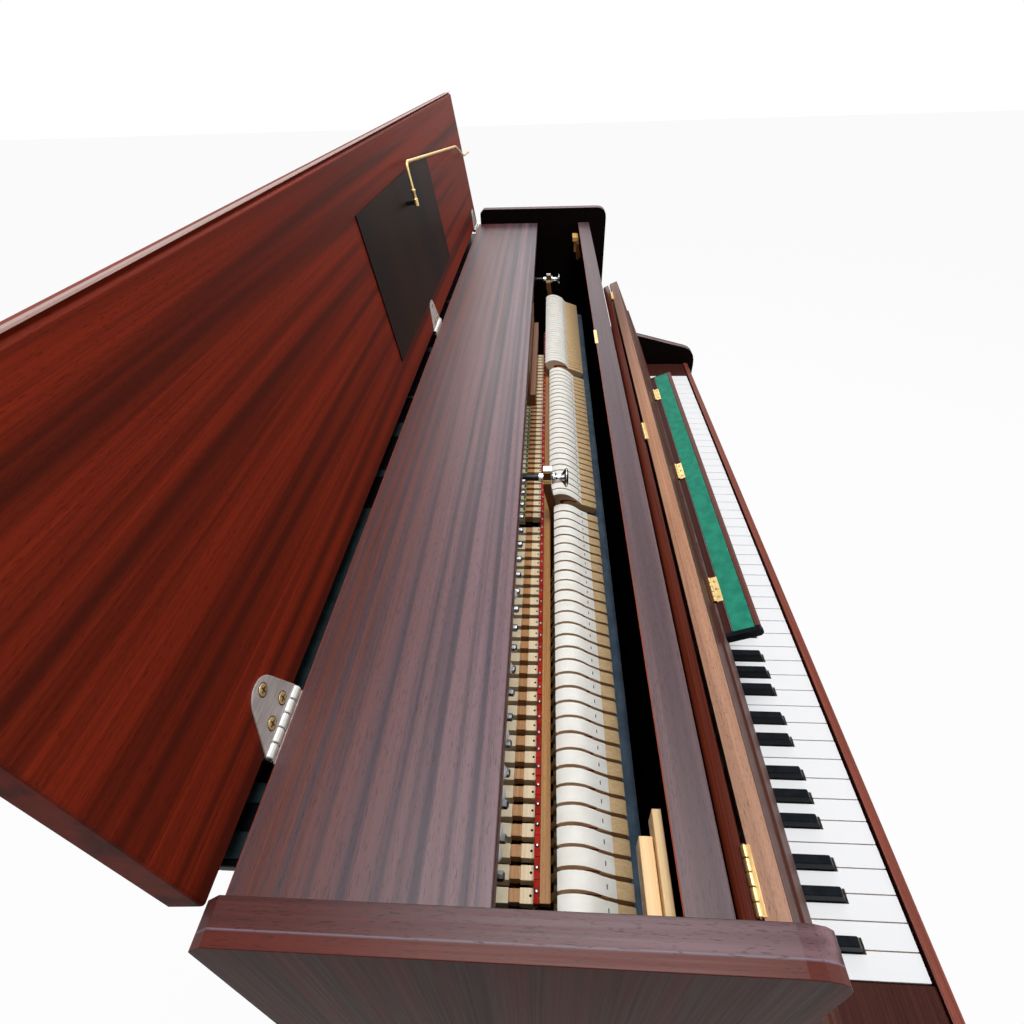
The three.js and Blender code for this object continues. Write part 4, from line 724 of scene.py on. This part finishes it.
def damper_bank(name, count, width, wedge):
    (start, end), (rear, front), (low, top) = extent(name)
    start = {"dampers_bass": 60 - HALF, "dampers_middle": start}[name]
    form = Form()
    step = (end - start - width) / (count - 1)
    for i in range(count):
        left = start + i * step
        span = (left, left + width)
        middle = left + width / 2
        pad_front = front - 21.8 + (0 if rear > 110 else -2)
        inset = width * 0.18
        pad = [(left, pad_front), (left, rear + 1.6), (left + inset, rear), (left + width - inset, rear)]
        pad += [(left + width, rear + 1.6), (left + width, pad_front)]
        form.upright(pad, (top - 13, top - 0.6), LEVEL, 0)
        form.block((left + 0.7, left + width - 0.7), (pad_front, front - 13.5), (top - 9, top), LEVEL, 1)
        barrel = [(front - 13.5, top - 9.5)] + arc((front - 4, top - 5.5), 4, -90, 0, 3)
        barrel += arc((front - 4, top - 4), 4, 0, 90, 4) + [(front - 13.5, top)]
        form.along_x(barrel, span, LEVEL, 2)
        # A black disc on the barrel's top: painted shade of its hole.
        form.turned([(top - 2, 1.15), (top + 0.15, 1.15)], (middle, front - 5.6, 0), "up", LEVEL, 3, 10)
        form.turned([(front - 2, 1), (front + 2.2, 1), (front + 2.4, 0.4)], (middle, 0, top - 4), "out", LEVEL, 4, 8)
        wire = [LEVEL.at(middle, front - 6, h) for h in (low + 8, top - 6)]
        form.tube(wire, 0.9, 4, 6)
        if wedge:
            form.block((left + 1.2, left + width - 1.2), (pad_front - 3, pad_front - 0.2), (top - 3, top + 0.4), LEVEL, 5)
    rod_start = extent(name)[0][0] + 8 if name == "dampers_bass" else start
    form.turned([(rod_start, 3.6), (end, 3.6)], (0, DAMPER_AXIS, low + 4), "x", LEVEL, 4, 12)
    if name == "dampers_bass":
        form.block((extent(name)[0][0], extent(name)[0][0] + 19), (DAMPER_AXIS - 23, DAMPER_AXIS), (low, low + 4), LEVEL, 4)
    materials = [PAD, BLOCK, BARREL, HOLE_SHADE, STEEL, GREEN_FELT]
    make(form, name + "_detail", name, materials, 0.5, [name])


for bank, sizes in DAMPER_BANKS.items():
    damper_bank(bank, **sizes)


def rest_rail():
    (start, end), (rear, front), (low, top) = extent("hammer_rest_rail")
    lean = math.radians(20)
    pivot = HAMMER_TILT

    def face(height):
        return pivot.depth + (height - pivot.height) * math.tan(lean) + 3.3

    bottom = top - 22
    form = Form()
    cloth = [(face(bottom), bottom), (front - 5, bottom)] + arc((front - 6, top - 6), 6, 0, 90, 5)
    cloth += [(face(top) + 2, top), (face(top - 2), top - 2)]
    span = (start, end)
    form.along_x(cloth, span, LEVEL, 0)
    for left in (start, end - 7):
        arm = [(pivot.depth - 6, pivot.height), (pivot.depth, pivot.height - 6), (pivot.depth + 38, pivot.height - 6)]
        arm += [(pivot.depth + 38, pivot.height), (pivot.depth + 12, pivot.height + 6), (front - 6, bottom + 2)]
        arm += [(face(bottom) + 6, bottom + 2)]
        form.along_x(arm, (left, left + 7), LEVEL, 1)
    make(form, "rest_rail_cloth", "hammer_rest_rail", [BLUE_FELT, MAPLE], 1.2, ["hammer_rest_rail"])


rest_rail()


def rail_felt():
    (start, end), (rear, front), (low, top) = extent("damper_stop_rail")
    form = Form()
    pitch = 15.5
    for i in range(int((end - start) / pitch)):
        left = start + i * pitch
        form.block((left, left + pitch - 0.3), (rear - 4.4, rear - 0.2), (low + 0.5, top - 0.5 - rng.uniform(0, 0.6)), LEVEL, 0)
        form.turned([(0, 1.7), (0.9, 1.5), (1.3, 0.6)], (left + pitch / 2, rear - 2.3, top - 0.6), "up", LEVEL, 1, 10)
    make(form, "stop_rail_felt", "case", [RED_FELT, STEEL], 0.5)


rail_felt()


def brackets():
    _, (rail_rear, rail_front), (rail_low, rail_top) = extent("damper_stop_rail")
    foot_rear = extent("keybed")[1][0] + 0.3
    axis = HAMMER_TILT.depth
    for name in ("action_bracket_bass", "action_bracket_middle", "action_bracket_treble"):
        (left, right), (rear, front), (low, top) = extent(name)
        middle = (left + right) / 2
        height = top - 10
        outline = [(foot_rear, low), (axis - 5, low), (axis - 5, rail_low - 30), (rail_front + 8.5, rail_low - 2)]
        outline += [(rail_front + 8.5, rail_top + 10), (rail_front + 1, top - 26), (rail_front, top), (rail_front - 9, top)]
        outline += [(rail_front - 9, top - 26), (rail_front - 2, rail_top + 16), (rail_front + 0.3, rail_top + 4)]
        outline += [(rail_front + 0.3, rail_low - 12), (rail_rear - 0.5, rail_low - 34), (rail_rear - 0.5, low + 40)]
        post = Form()
        post.along_x(outline + [(foot_rear, low + 12)], centred(middle, 8), LEVEL, 0)
        make(post, name.replace("action_bracket", "bracket_post"), "case", [POST], 0.8, [name])
        form = Form()
        spool = [(-12.5, 5.4), (-11.5, 7.4), (-9, 7.6), (-7.5, 5), (-4, 4.2), (-0.5, 5), (2.2, 8.4), (3.6, 11), (5, 11.8)]
        spool += [(6.4, 11.4), (7.4, 9), (7.8, 4), (8, 1.6)]
        form.turned(spool, (middle, front - 7, height), "out", LEVEL, 0, 32)
        form.turned([(rear + 0.4, 4.2), (rail_front - 8.8, 4.2)], (middle, 0, height), "out", LEVEL, 1, 16)
        form.turned([(rail_front - 15, 5.4), (rail_front - 9.2, 5.4)], (middle, 0, height), "out", LEVEL, 0, 16)
        form.block(centred(middle, 8.6), (rail_front - 9.4, rail_front + 0.4), (height - 7, height - 1.5), LEVEL, 2)
        form.block(centred(middle, 10), (rail_front - 9.6, rail_front + 0.8), (top - 1, top + 3.4), LEVEL, 0)
        make(form, name.replace("action_bracket", "bracket_nut"), "case", [CHROME, BLACK_METAL_AND_SLOT_SHADE, BRASS], 0.4)


brackets()


# Back: ribs on the soundboard between the posts, and bolts through the upper beam

POST_WIDTH = 62
BEAM_HEIGHT = 110


def back_details():
    (left, right), (rear, front), (low, top) = extent("back_frame")
    pitch = (right - left - POST_WIDTH) / 4
    ribs = Form()
    bolts = Form()
    for i in range(4):
        ends = (left + i * pitch + POST_WIDTH + 0.4, left + (i + 1) * pitch - 0.4)
        for middle in (330, 540, 750):
            view = [(x, middle + 0.28 * x + side) for x, side in zip((*ends, *reversed(ends)), (-11, -11, 11, 11))]
            if max(z for _, z in view) < top - BEAM_HEIGHT and min(z for _, z in view) > low + BEAM_HEIGHT:
                ribs.facing(view, (front - 8, front + 1.8), LEVEL, 0)
    for i in range(5):
        for height in (top - 34, top - 78, low + 40):
            head = [(0, 7.6), (-1.2, 7.4), (-2.6, 5.4), (-3.1, 2), (-3.2, 0.5)]
            bolts.turned(head, (left + i * pitch + POST_WIDTH / 2, rear, height), "out", LEVEL, 0, 16)
    make(ribs, "soundboard_ribs", "case", [SPRUCE], 2)
    make(bolts, "post_bolts", "case", [STEEL], 0, smooth=60)


back_details()


# Strings and pins


def string_fan(name, count, per_note, radius, finish):
    (_, _), (rear, front), (low, top) = extent(name)
    fans = {
        "bass_strings": ((0.033, 0.334), (0.2423, 0.5984)),
        "treble_strings": ((0.3649, 0.8994), (0.4112, 0.9471)),
    }
    upper, lower = fans[name]
    form = Form()
    for i in range(count):
        share = i / (count - 1)
        ends = []
        for (a, b), height in ((upper, top + 22), (lower, low + 4)):
            ends.append((-HALF + (a + (b - a) * share) * 2 * HALF + 2, height))
        for k in range(per_note):
            shift = (k - (per_note - 1) / 2) * 2.1
            points = [LEVEL.at(x + shift, (rear + front) / 2, height) for x, height in ends]
            form.tube(points, radius, 0, 6)
        for k in range(per_note):
            form.turned(
                [(front - 14, 3.2), (front + 12, 3.2), (front + 13, 2)],
                (ends[0][0] + 3.5 + (k - 1) * 3, 0, top + 24 + 9 * k),
                "out", LEVEL, 1, 8,
            )
    make(form, name + "_wires", "case", [finish, STEEL], 0, [name])


string_fan("bass_strings", 20, 1, 1, COPPER)
string_fan("treble_strings", 48, 3, 0.5, STEEL)


# Keys

WHITE_COUNT = 52
KEY_MARGIN = 70
PITCH = (2 * HALF - 2 * KEY_MARGIN) / WHITE_COUNT
KEYS_START = KEY_MARGIN - HALF
SHARP_SHIFT = {0: 0.136, 2: -0.111, 3: 0.111, 5: -0.136, 6: 0}
SOLO_WHITES = {9: "key_c2", 10: "key_d2", 11: "key_e2"}
SOLO_SHARPS = {9: "key_c_sharp_2", 10: "key_d_sharp_2"}
KEY_GAP = 0.9
SHARP_WIDTH = 11.5
KEY_LENGTH = 160
PLASTIC = 2.2


def has_sharp(white):
    return white % 7 in SHARP_SHIFT and white < WHITE_COUNT - 1


def sharp_x(white):
    return KEYS_START + (white + 1 + SHARP_SHIFT[white % 7]) * PITCH


def white_plan(white, front, head_rear, rear):
    clear = SHARP_WIDTH / 2 + KEY_GAP
    left = KEYS_START + white * PITCH + KEY_GAP / 2
    right = left + PITCH - KEY_GAP
    tail_left = sharp_x(white - 1) + clear if white > 0 and has_sharp(white - 1) else left
    tail_right = sharp_x(white) - clear if has_sharp(white) else right
    plan = [(left, front), (left, head_rear)]
    plan += [(tail_left, head_rear)] * (tail_left != left) + [(tail_left, rear), (tail_right, rear)]
    plan += [(tail_right, head_rear)] * (tail_right != right)
    if tail_right != right:
        plan += [(right, head_rear)]
    return plan + [(right, front)]


def add_white(form, white, rear, bottom, top, front, head_rear):
    form.upright(white_plan(white, front - 1.6, head_rear + 0.8, rear), (bottom, top - PLASTIC - 0.05), LEVEL, 1)
    form.upright(white_plan(white, front, head_rear, front - KEY_LENGTH), (top - PLASTIC, top), LEVEL, 0)
    left = KEYS_START + white * PITCH + KEY_GAP / 2
    form.block((left, left + PITCH - KEY_GAP), (front - 1.5, front - 0.2), (bottom, top - PLASTIC), LEVEL, 0)


def add_sharp(form, white, rear, bottom, key_top, top, front):
    x = sharp_x(white)
    half = SHARP_WIDTH / 2
    form.block((x - half, x + half), (rear, front - 8), (bottom, key_top - 6), LEVEL, 1)
    form.block((x - half, x + half), (front - 102, front), (key_top - 6, key_top + 0.4), LEVEL, 0)
    base = box_outline((x - half, x + half), (front - 102, front))
    cap = box_outline((x - half + 1.3, x + half - 1.3), (front - 100, front - 6.5))
    form.skin([[LEVEL.at(a, d, h) for a, d in ring] for ring, h in ((base, key_top + 0.5), (cap, top))], 0)


def keyboard():
    (_, _), (rear, front), (bottom, top) = extent("white_keys_low")
    (_, _), (sharp_rear, sharp_front), (_, sharp_top) = extent("key_c_sharp_2")
    head_rear = sharp_front + 2
    half_way = WHITE_COUNT // 2
    banks = {}
    for white in range(WHITE_COUNT):
        side = "low" if white < half_way else "high"
        banks.setdefault(SOLO_WHITES.get(white, "white_keys_" + side), []).append(white)
    for name, whites in banks.items():
        form = Form()
        for white in whites:
            add_white(form, white, extent(name)[1][0], bottom, top, front, head_rear)
        make(form, name + "_tops", name, [IVORY, MAPLE], 0.5, [name])
    banks = {}
    for white in range(WHITE_COUNT):
        side = "low" if white < half_way else "high"
        if has_sharp(white):
            banks.setdefault(SOLO_SHARPS.get(white, "black_keys_" + side), []).append(white)
    for name, whites in banks.items():
        form = Form()
        for white in whites:
            add_sharp(form, white, extent(name)[1][0], bottom, top, sharp_top, sharp_front)
        make(form, name + "_caps", name, [EBONY, MAPLE], 1.1, [name])


keyboard()


# Lid: hinges, prop wire and edge strip

LID_AXIS = next(joint for joint in frame["joints"] if joint["name"] == "lid_hinge")["pos_m"]
LID_TILT = Tilt(REAR - LID_AXIS[1] / MM, LID_AXIS[2] / MM, -99)


def lid_hinges():
    for number in (1, 2, 3):
        node = "lid_hinge_%d" % number
        (left, right), _, _ = extent(node)
        middle = (left + right) / 2
        form = Form()
        plan = [(middle + 25, 1), (middle + 25, 3)] + [
            (middle + x, d) for x, d in arc((0, 24.5), 14, 24, 156, 12)
        ] + [(middle - 25, 3), (middle - 25, 1)]
        form.upright(plan, (-1.1, -0.2), LID_TILT, 0)
        for i in range(5):
            ends = (left + 10 * i + 0.35, left + 10 * i + 9.65)
            form.turned([(ends[0], 3.2), (ends[0] + 0.6, 3.7), (ends[1] - 0.6, 3.7), (ends[1], 3.2)], (0, 0, 0), "x", LID_TILT, 0, 18)
        form.turned([(left - 0.8, 2), (left + 0.5, 2.6)], (0, 0, 0), "x", LID_TILT, 2, 12)
        form.turned([(left + 1, 2.2), (right - 1, 2.2)], (0, 0, 0), "x", LID_TILT, 2, 12)
        for x, d in ((2, 31), (10, 10.5), (-7.5, 10.5)):
            form.screw((middle + x, d, -1.1), "up", 4, LID_TILT, 1, 2, -1)
        make(form, "hinge_leaf_%d" % number, "lid", [NICKEL, BRASS, BLACK_METAL_AND_SLOT_SHADE], 0.35, [node])
        fixed = Form()
        board = extent("rear_top_board")
        fixed.facing(
            box_outline((left, right), (board[2][1] - 16, board[2][1] - 1.5)),
            (board[1][0] - 1.5, board[1][0] - 0.1), LEVEL, 0,
        )
        for x in (-15, 0, 15):
            fixed.screw((middle + x, board[1][0] - 1.5, board[2][1] - 9.5), "out", 2.6, LEVEL, 1, 2, -1)
        make(fixed, "hinge_fixed_%d" % number, "case", [NICKEL, BRASS, BLACK_METAL_AND_SLOT_SHADE], 0.25)


lid_hinges()


def prop_wire():
    height = -14
    places = [(0.5558, 168), (0.5558, 199)]
    points = [(-HALF + share * 2 * HALF, up) for share, up in places]
    corner = points[1]
    for i in range(1, 7):
        angle = math.pi / 2 * i / 6
        points.append((corner[0] + 9 * (1 - math.cos(angle)), corner[1] + 9 * math.sin(angle)))
    ends = [(-HALF + share * 2 * HALF, up) for share, up in ((0.8737, 172), (0.931, 146), (0.9912, 142))]
    for before, at, after in ((points[-1], ends[0], ends[1]), (ends[0], ends[1], ends[2])):
        a, b, c = (Vector(p) for p in (before, at, after))
        start = b + (a - b).normalized() * 14
        end = b + (c - b).normalized() * 14
        for i in range(7):
            t = i / 6
            points.append(tuple(start * (1 - t) ** 2 + b * 2 * t * (1 - t) + end * t ** 2))
    points.append(ends[2])
    form = Form()
    form.tube([LID_TILT.at(x, up, height) for x, up in points], 2, 0, 14)
    make(form, "prop_wire", "lid_prop", [BRASS], 0, ["lid_prop"])
    sleeve = Form()
    foot = -HALF + 0.5558 * 2 * HALF
    rings = [(157, 1.6), (158, 3), (166, 3.2), (166.6, 2.5), (174, 2.5), (175, 3.2), (177, 3.2), (177.6, 2.6)]
    for inner in (2.2,):
        rings = rings + [(177.6, inner), (168.2, inner)]
    sleeve.turned([(step, radius) for step, radius in rings], (foot, 0, height), "out", LID_TILT, 0, 18)
    sleeve.block((foot - 2, foot + 2), (160, 165), (height + 1, -1.6), LID_TILT, 1)
    make(sleeve, "prop_sleeve", "lid", [BRASS, BLACK_METAL_AND_SLOT_SHADE], 0, ["lid_prop_socket"])


prop_wire()


def lid_edge():
    (left, right), _, _ = extent("lid")
    form = Form()
    form.along_x([(249.2, 0.5), (250.3, 1.2), (250.3, 6.5), (249.2, 7.2)], (left + 0.5, right - 0.5), LID_TILT, 0)
    make(form, "lid_edge_strip", "lid", [LID_EDGE], 0.2)


lid_edge()


# Keyboard cover, lip and shelf

FALL_AXIS = next(joint for joint in frame["joints"] if joint["name"] == "fallboard_hinge")["pos_m"]
FALL_TILT = Tilt(REAR - FALL_AXIS[1] / MM, FALL_AXIS[2] / MM, -24)
FALL_TOP_UP = 178 - 37.9
FACE_OUT = 10.3


def fall_details():
    (left, right), _, _ = extent("fallboard")
    left, right = left + 1.7, right - 1.7
    form = Form()
    form.block((left, right), (FACE_OUT - 17.6, FACE_OUT - 0.4), (FALL_TOP_UP - 0.2, FALL_TOP_UP + 0.8), FALL_TILT, 0)
    make(form, "fall_top_edge", "fallboard", [FALL_TOP], 0.4)
    strip = Form()
    strip.block((left, right), (FACE_OUT - 19.3, FACE_OUT - 17.9), (FALL_TOP_UP - 34, FALL_TOP_UP - 2), FALL_TILT, 0)
    make(strip, "fall_hinge_strip", "fallboard", [DARK_WOOD], 0.3)
    hinges = Form()
    lip_half = 679
    for share in (0.054, 0.5, 0.94):
        middle = (2 * share - 1) * lip_half
        top = FALL_TOP_UP + 0.9
        hinges.block(centred(middle, 46), (FACE_OUT - 18.4, FACE_OUT - 15.4), (top - 0.2, top + 0.7), FALL_TILT, 0)
        for i in range(5):
            start = middle - 23 + i * 9.3
            barrel = [(start, 2.4), (start + 0.5, 3), (start + 8.3, 3), (start + 8.8, 2.4)]
            hinges.turned(barrel, (0, FACE_OUT - 20, FALL_TOP_UP + 0.6), "x", FALL_TILT, 0, 14)
    make(hinges, "lip_hinges", "fallboard", [BRASS, BLACK_METAL_AND_SLOT_SHADE], 0.2)


fall_details()


def shelf_details():
    body = "music_shelf"
    dress("music_shelf", SHELF_WOOD, 0.8)
    (left, right), _, _ = extent("music_shelf")
    anchor = next(joint for joint in frame["joints"] if joint["name"] == "music_shelf_hinge")["pos_m"]
    tilt = Tilt(REAR - anchor[1] / MM, anchor[2] / MM, -24)
    form = Form()
    baize = [(9.4, -1.5), (33.2, -1.5), (33.8, -0.9), (33.4, 0), (9.8, 0.1), (9.2, -0.8)]
    form.along_x(baize, (left + 4, right - 4), tilt, 0)
    cloth = make(form, "shelf_cloth", body, [BAIZE], 0.3, ["shelf_baize"])
    edge = Form()
    edge.along_x([(34.2, 0.1), (38.2, 0.1), (40.2, -2.4), (40.7, -6), (40.2, -9), (38.6, -11.2)], (left + 5, right - 5), tilt, 0)
    edge.along_x([(8.3, -0.1), (8.9, -0.1), (8.9, -1.4), (8.3, -1.4)], (left + 5, right - 5), tilt, 1)
    make(edge, "shelf_front_edge", body, [SHELF_EDGE, LID_EDGE], 0.2)
    caps = Form()
    for x0, x1 in ((left - 1.2, left + 5), (right - 5, right + 1.2)):
        outline = [(1, -12.4), (36, -12.7)] + arc((35.5, -6.8), 6, -70, 70, 6) + [(1, -0.9)]
        caps.along_x(outline, (x0, x1), tilt, 0)
    make(caps, "shelf_ends", body, [EBONY], 0.8)
    leaves = Form()
    for share in (0.11, 0.5, 0.89):
        middle = (share - 0.5) * 655
        leaves.block(centred(middle, 40), (1.5, 9.6), (-1.3, 0.2), tilt, 0)
        for i in range(5):
            start = middle - 20 + 8 * i
            leaves.turned([(start + 0.2, 1.9), (start + 0.6, 2.4), (start + 7.4, 2.4), (start + 7.8, 1.9)], (0, 0, 0), "x", tilt, 0, 12)
        for x in (-13, 0, 13):
            leaves.screw((middle + x, 6, 0.2), "up", 1.9, tilt, 0, 1)
    make(leaves, "shelf_hinges", body, [BRASS, BLACK_METAL_AND_SLOT_SHADE], 0.2)


shelf_details()


# Small fittings


def panel_boards():
    """Two upright boards of different lengths, behind the bass end of the upper panel."""
    _, (rear, front), (low, top) = extent("panel_block_bass")
    start = -HALF + 0.3
    form = Form()
    under_cap = extent("rear_top_board")[2][0]
    form.block((start, 66 - HALF), (front - 10.2, front - 0.3), (low, under_cap - 14), LEVEL, 0)
    form.block((start, 68 - HALF), (front - 18.6, front - 10.4), (under_cap - 15, under_cap + 1), LEVEL, 0)
    form.block((start, 55 - HALF), (front - 27, front - 19), (under_cap - 19, under_cap - 4), LEVEL, 0)
    make(form, "panel_boards", "case", [SLAT], 0.8, ["panel_block_bass"])


panel_boards()


def rear_shadow_ledge():
    """Painted shadow behind the rear board, below the lid: a black ledge that fills the gap under the lid, with teal
    cloth pads on it.
    """
    (left, right), (rear, front), (low, top) = extent("rear_top_board")
    # Black ledge: painted shadow in the gap under the lid.
    ledge = Form()
    ledge.block((left + 28, right - 2), (rear - 20, rear - 0.2), (low - 6, low + 1), LEVEL, 0)
    ledge.block((left + 28, right - 2), (rear - 22.6, rear - 19.8), (low - 6, extent("lid")[2][0] - 1.5), LEVEL, 0)
    make(ledge, "rear_ledge", "case", [EBONY], 0.8)
    pads = Form()
    for start, end in ((32, 46), (62, 74), (130, 340), (392, 404), (470, 500), (560, 566), (700, 716), (900, 912)):
        pads.block((start - HALF, end - HALF), (rear - 19, rear - 1), (low + 1.1, low + 2.6), LEVEL, 0)
    make(pads, "rear_ledge_pads", "case", [TEAL_FELT], 0.5)


rear_shadow_ledge()


def fittings():
    panel = extent("upper_front_panel")
    plate = Form()
    middle = 705 - HALF
    plate.block(centred(middle, 46), (panel[1][0] - 1.2, panel[1][0] + 3.2), (panel[2][1] - 0.2, panel[2][1] + 1.1), LEVEL, 0)
    make(plate, "panel_catch_plate", "case", [BRASS], 0.3)
    buttons = Form()
    inner = panel[1][0]
    cap_under = panel[2][1] - 19
    buttons.block((HALF - 50, HALF - 12), (inner - 12, inner + 1), (cap_under - 9, cap_under - 1), LEVEL, 0)
    buttons.block((HALF - 40, HALF - 22), (inner - 8, inner - 1), (cap_under - 34, cap_under - 9), LEVEL, 0)
    buttons.block((HALF - 76, HALF - 52), (inner - 4, inner + 2), (cap_under - 40, cap_under - 8), LEVEL, 3)
    buttons.block((HALF - 76, HALF - 52), (inner + 2, inner + 13.8), (cap_under - 36, cap_under - 20), LEVEL, 3)
    buttons.screw((HALF - 31, inner - 12, cap_under - 5), "out", 3.4, LEVEL, 1, 2, -1)
    make(buttons, "turn_buttons", "case", [BUTTON_WOOD, CHROME, BLACK_METAL_AND_SLOT_SHADE, POST], 0.8)
    cleat = Form()
    cleat.block((640 - HALF, 905 - HALF), (131, 139), (1012, 1030), LEVEL, 0)
    cleat.block((640 - HALF, 905 - HALF), (120, 131), (1012, 1064.8), LEVEL, 0)
    make(cleat, "board_cleat", "case", [POST], 0.8)
    domes = Form()
    for place in (48, 60, 82, 96, 122, 176, 250):
        centre = (place - HALF, 124, 1046)
        domes.turned([(0, 6.8), (1.6, 6.6), (3.8, 5), (5.2, 2.4), (5.4, 0.6)], centre, "up", LEVEL, 0, 20)
        domes.turned([(-34, 2.2), (0, 2.2)], centre, "up", LEVEL, 0, 8)
    make(domes, "plate_bolts", "case", [DOME_SILVER], 0, smooth=60)


fittings()


# Floor, lamps and sky


def studio():
    mesh = bpy.data.meshes.new("floor")
    reach = 14
    mesh.from_pydata([(-reach, -reach, 0), (reach, -reach, 0), (reach, reach, 0), (-reach, reach, 0)], [], [(0, 1, 2, 3)])
    floor = bpy.data.objects.new("floor", mesh)
    bpy.context.scene.collection.objects.link(floor)
    paint = Paint("floor_pale", roughness=0.9, specular=0.1)
    paint.colour_with(paint.ramp(paint.noise((3, 3, 3)), (0.3, 0.84), (0.7, 0.87)))
    glow = paint.nodes.new("ShaderNodeEmission")
    rays = paint.nodes.new("ShaderNodeLightPath")
    blend = paint.nodes.new("ShaderNodeMixShader")
    part = paint.nodes.new("ShaderNodeMath")
    part.operation = "MULTIPLY"
    part.inputs[1].default_value = 0.94
    either = paint.nodes.new("ShaderNodeMath")
    either.operation = "MAXIMUM"
    paint.join(rays.outputs["Is Camera Ray"], either.inputs[0])
    paint.join(rays.outputs["Is Transmission Ray"], either.inputs[1])
    paint.join(either.outputs[0], part.inputs[0])
    paint.join(part.outputs[0], blend.inputs["Fac"])
    paint.join(paint.shader.outputs["BSDF"], blend.inputs[1])
    paint.join(glow.outputs["Emission"], blend.inputs[2])
    paint.join(blend.outputs["Shader"], paint.nodes["Material Output"].inputs["Surface"])
    mesh.materials.append(paint.material)
    floor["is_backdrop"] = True

    world = bpy.data.worlds.new("sky")
    bpy.context.scene.world = world
    world.use_nodes = True
    tree = world.node_tree
    background = tree.nodes["Background"]
    rays = tree.nodes.new("ShaderNodeLightPath")
    first = tree.nodes.new("ShaderNodeMath")
    first.operation = "MAXIMUM"
    second = tree.nodes.new("ShaderNodeMath")
    second.operation = "MAXIMUM"
    strength = tree.nodes.new("ShaderNodeMapRange")
    strength.inputs["To Min"].default_value = 0.28
    strength.inputs["To Max"].default_value = 1
    tree.links.new(rays.outputs["Is Camera Ray"], first.inputs[0])
    tree.links.new(rays.outputs["Is Glossy Ray"], first.inputs[1])
    tree.links.new(first.outputs[0], second.inputs[0])
    tree.links.new(rays.outputs["Is Transmission Ray"], second.inputs[1])
    tree.links.new(second.outputs[0], strength.inputs["Value"])
    tree.links.new(strength.outputs["Result"], background.inputs["Strength"])
    background.inputs["Color"].default_value = (1, 1, 1, 1)

    lamps = {
        "lamp_above": {"place": (-0.2, -0.1, 3.6), "target": (0, 0, 0.9), "size": 1.4, "power": 62},
        "lamp_front": {"place": (-0.6, -3.2, 2.0), "target": (0, 0, 0.9), "size": 2.4, "power": 26},
        "lamp_far": {"place": (3.0, 0.3, 3.0), "target": (0, 0, 1.0), "size": 1.6, "power": 20},
    }
    for name, lamp in lamps.items():
        data = bpy.data.lights.new(name, "AREA")
        data.shape = "DISK"
        data.size = lamp["size"]
        data.energy = lamp["power"]
        light = bpy.data.objects.new(name, data)
        bpy.context.scene.collection.objects.link(light)
        heading = Vector(lamp["target"]) - Vector(lamp["place"])
        light.location = lamp["place"]
        light.rotation_euler = heading.to_track_quat("-Z", "Y").to_euler()


studio()

bpy.context.view_layer.update()
sizes = {
    "cad": [list(corner) for corner in cad_box],
    "visual": [list(corner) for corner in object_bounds()],
}
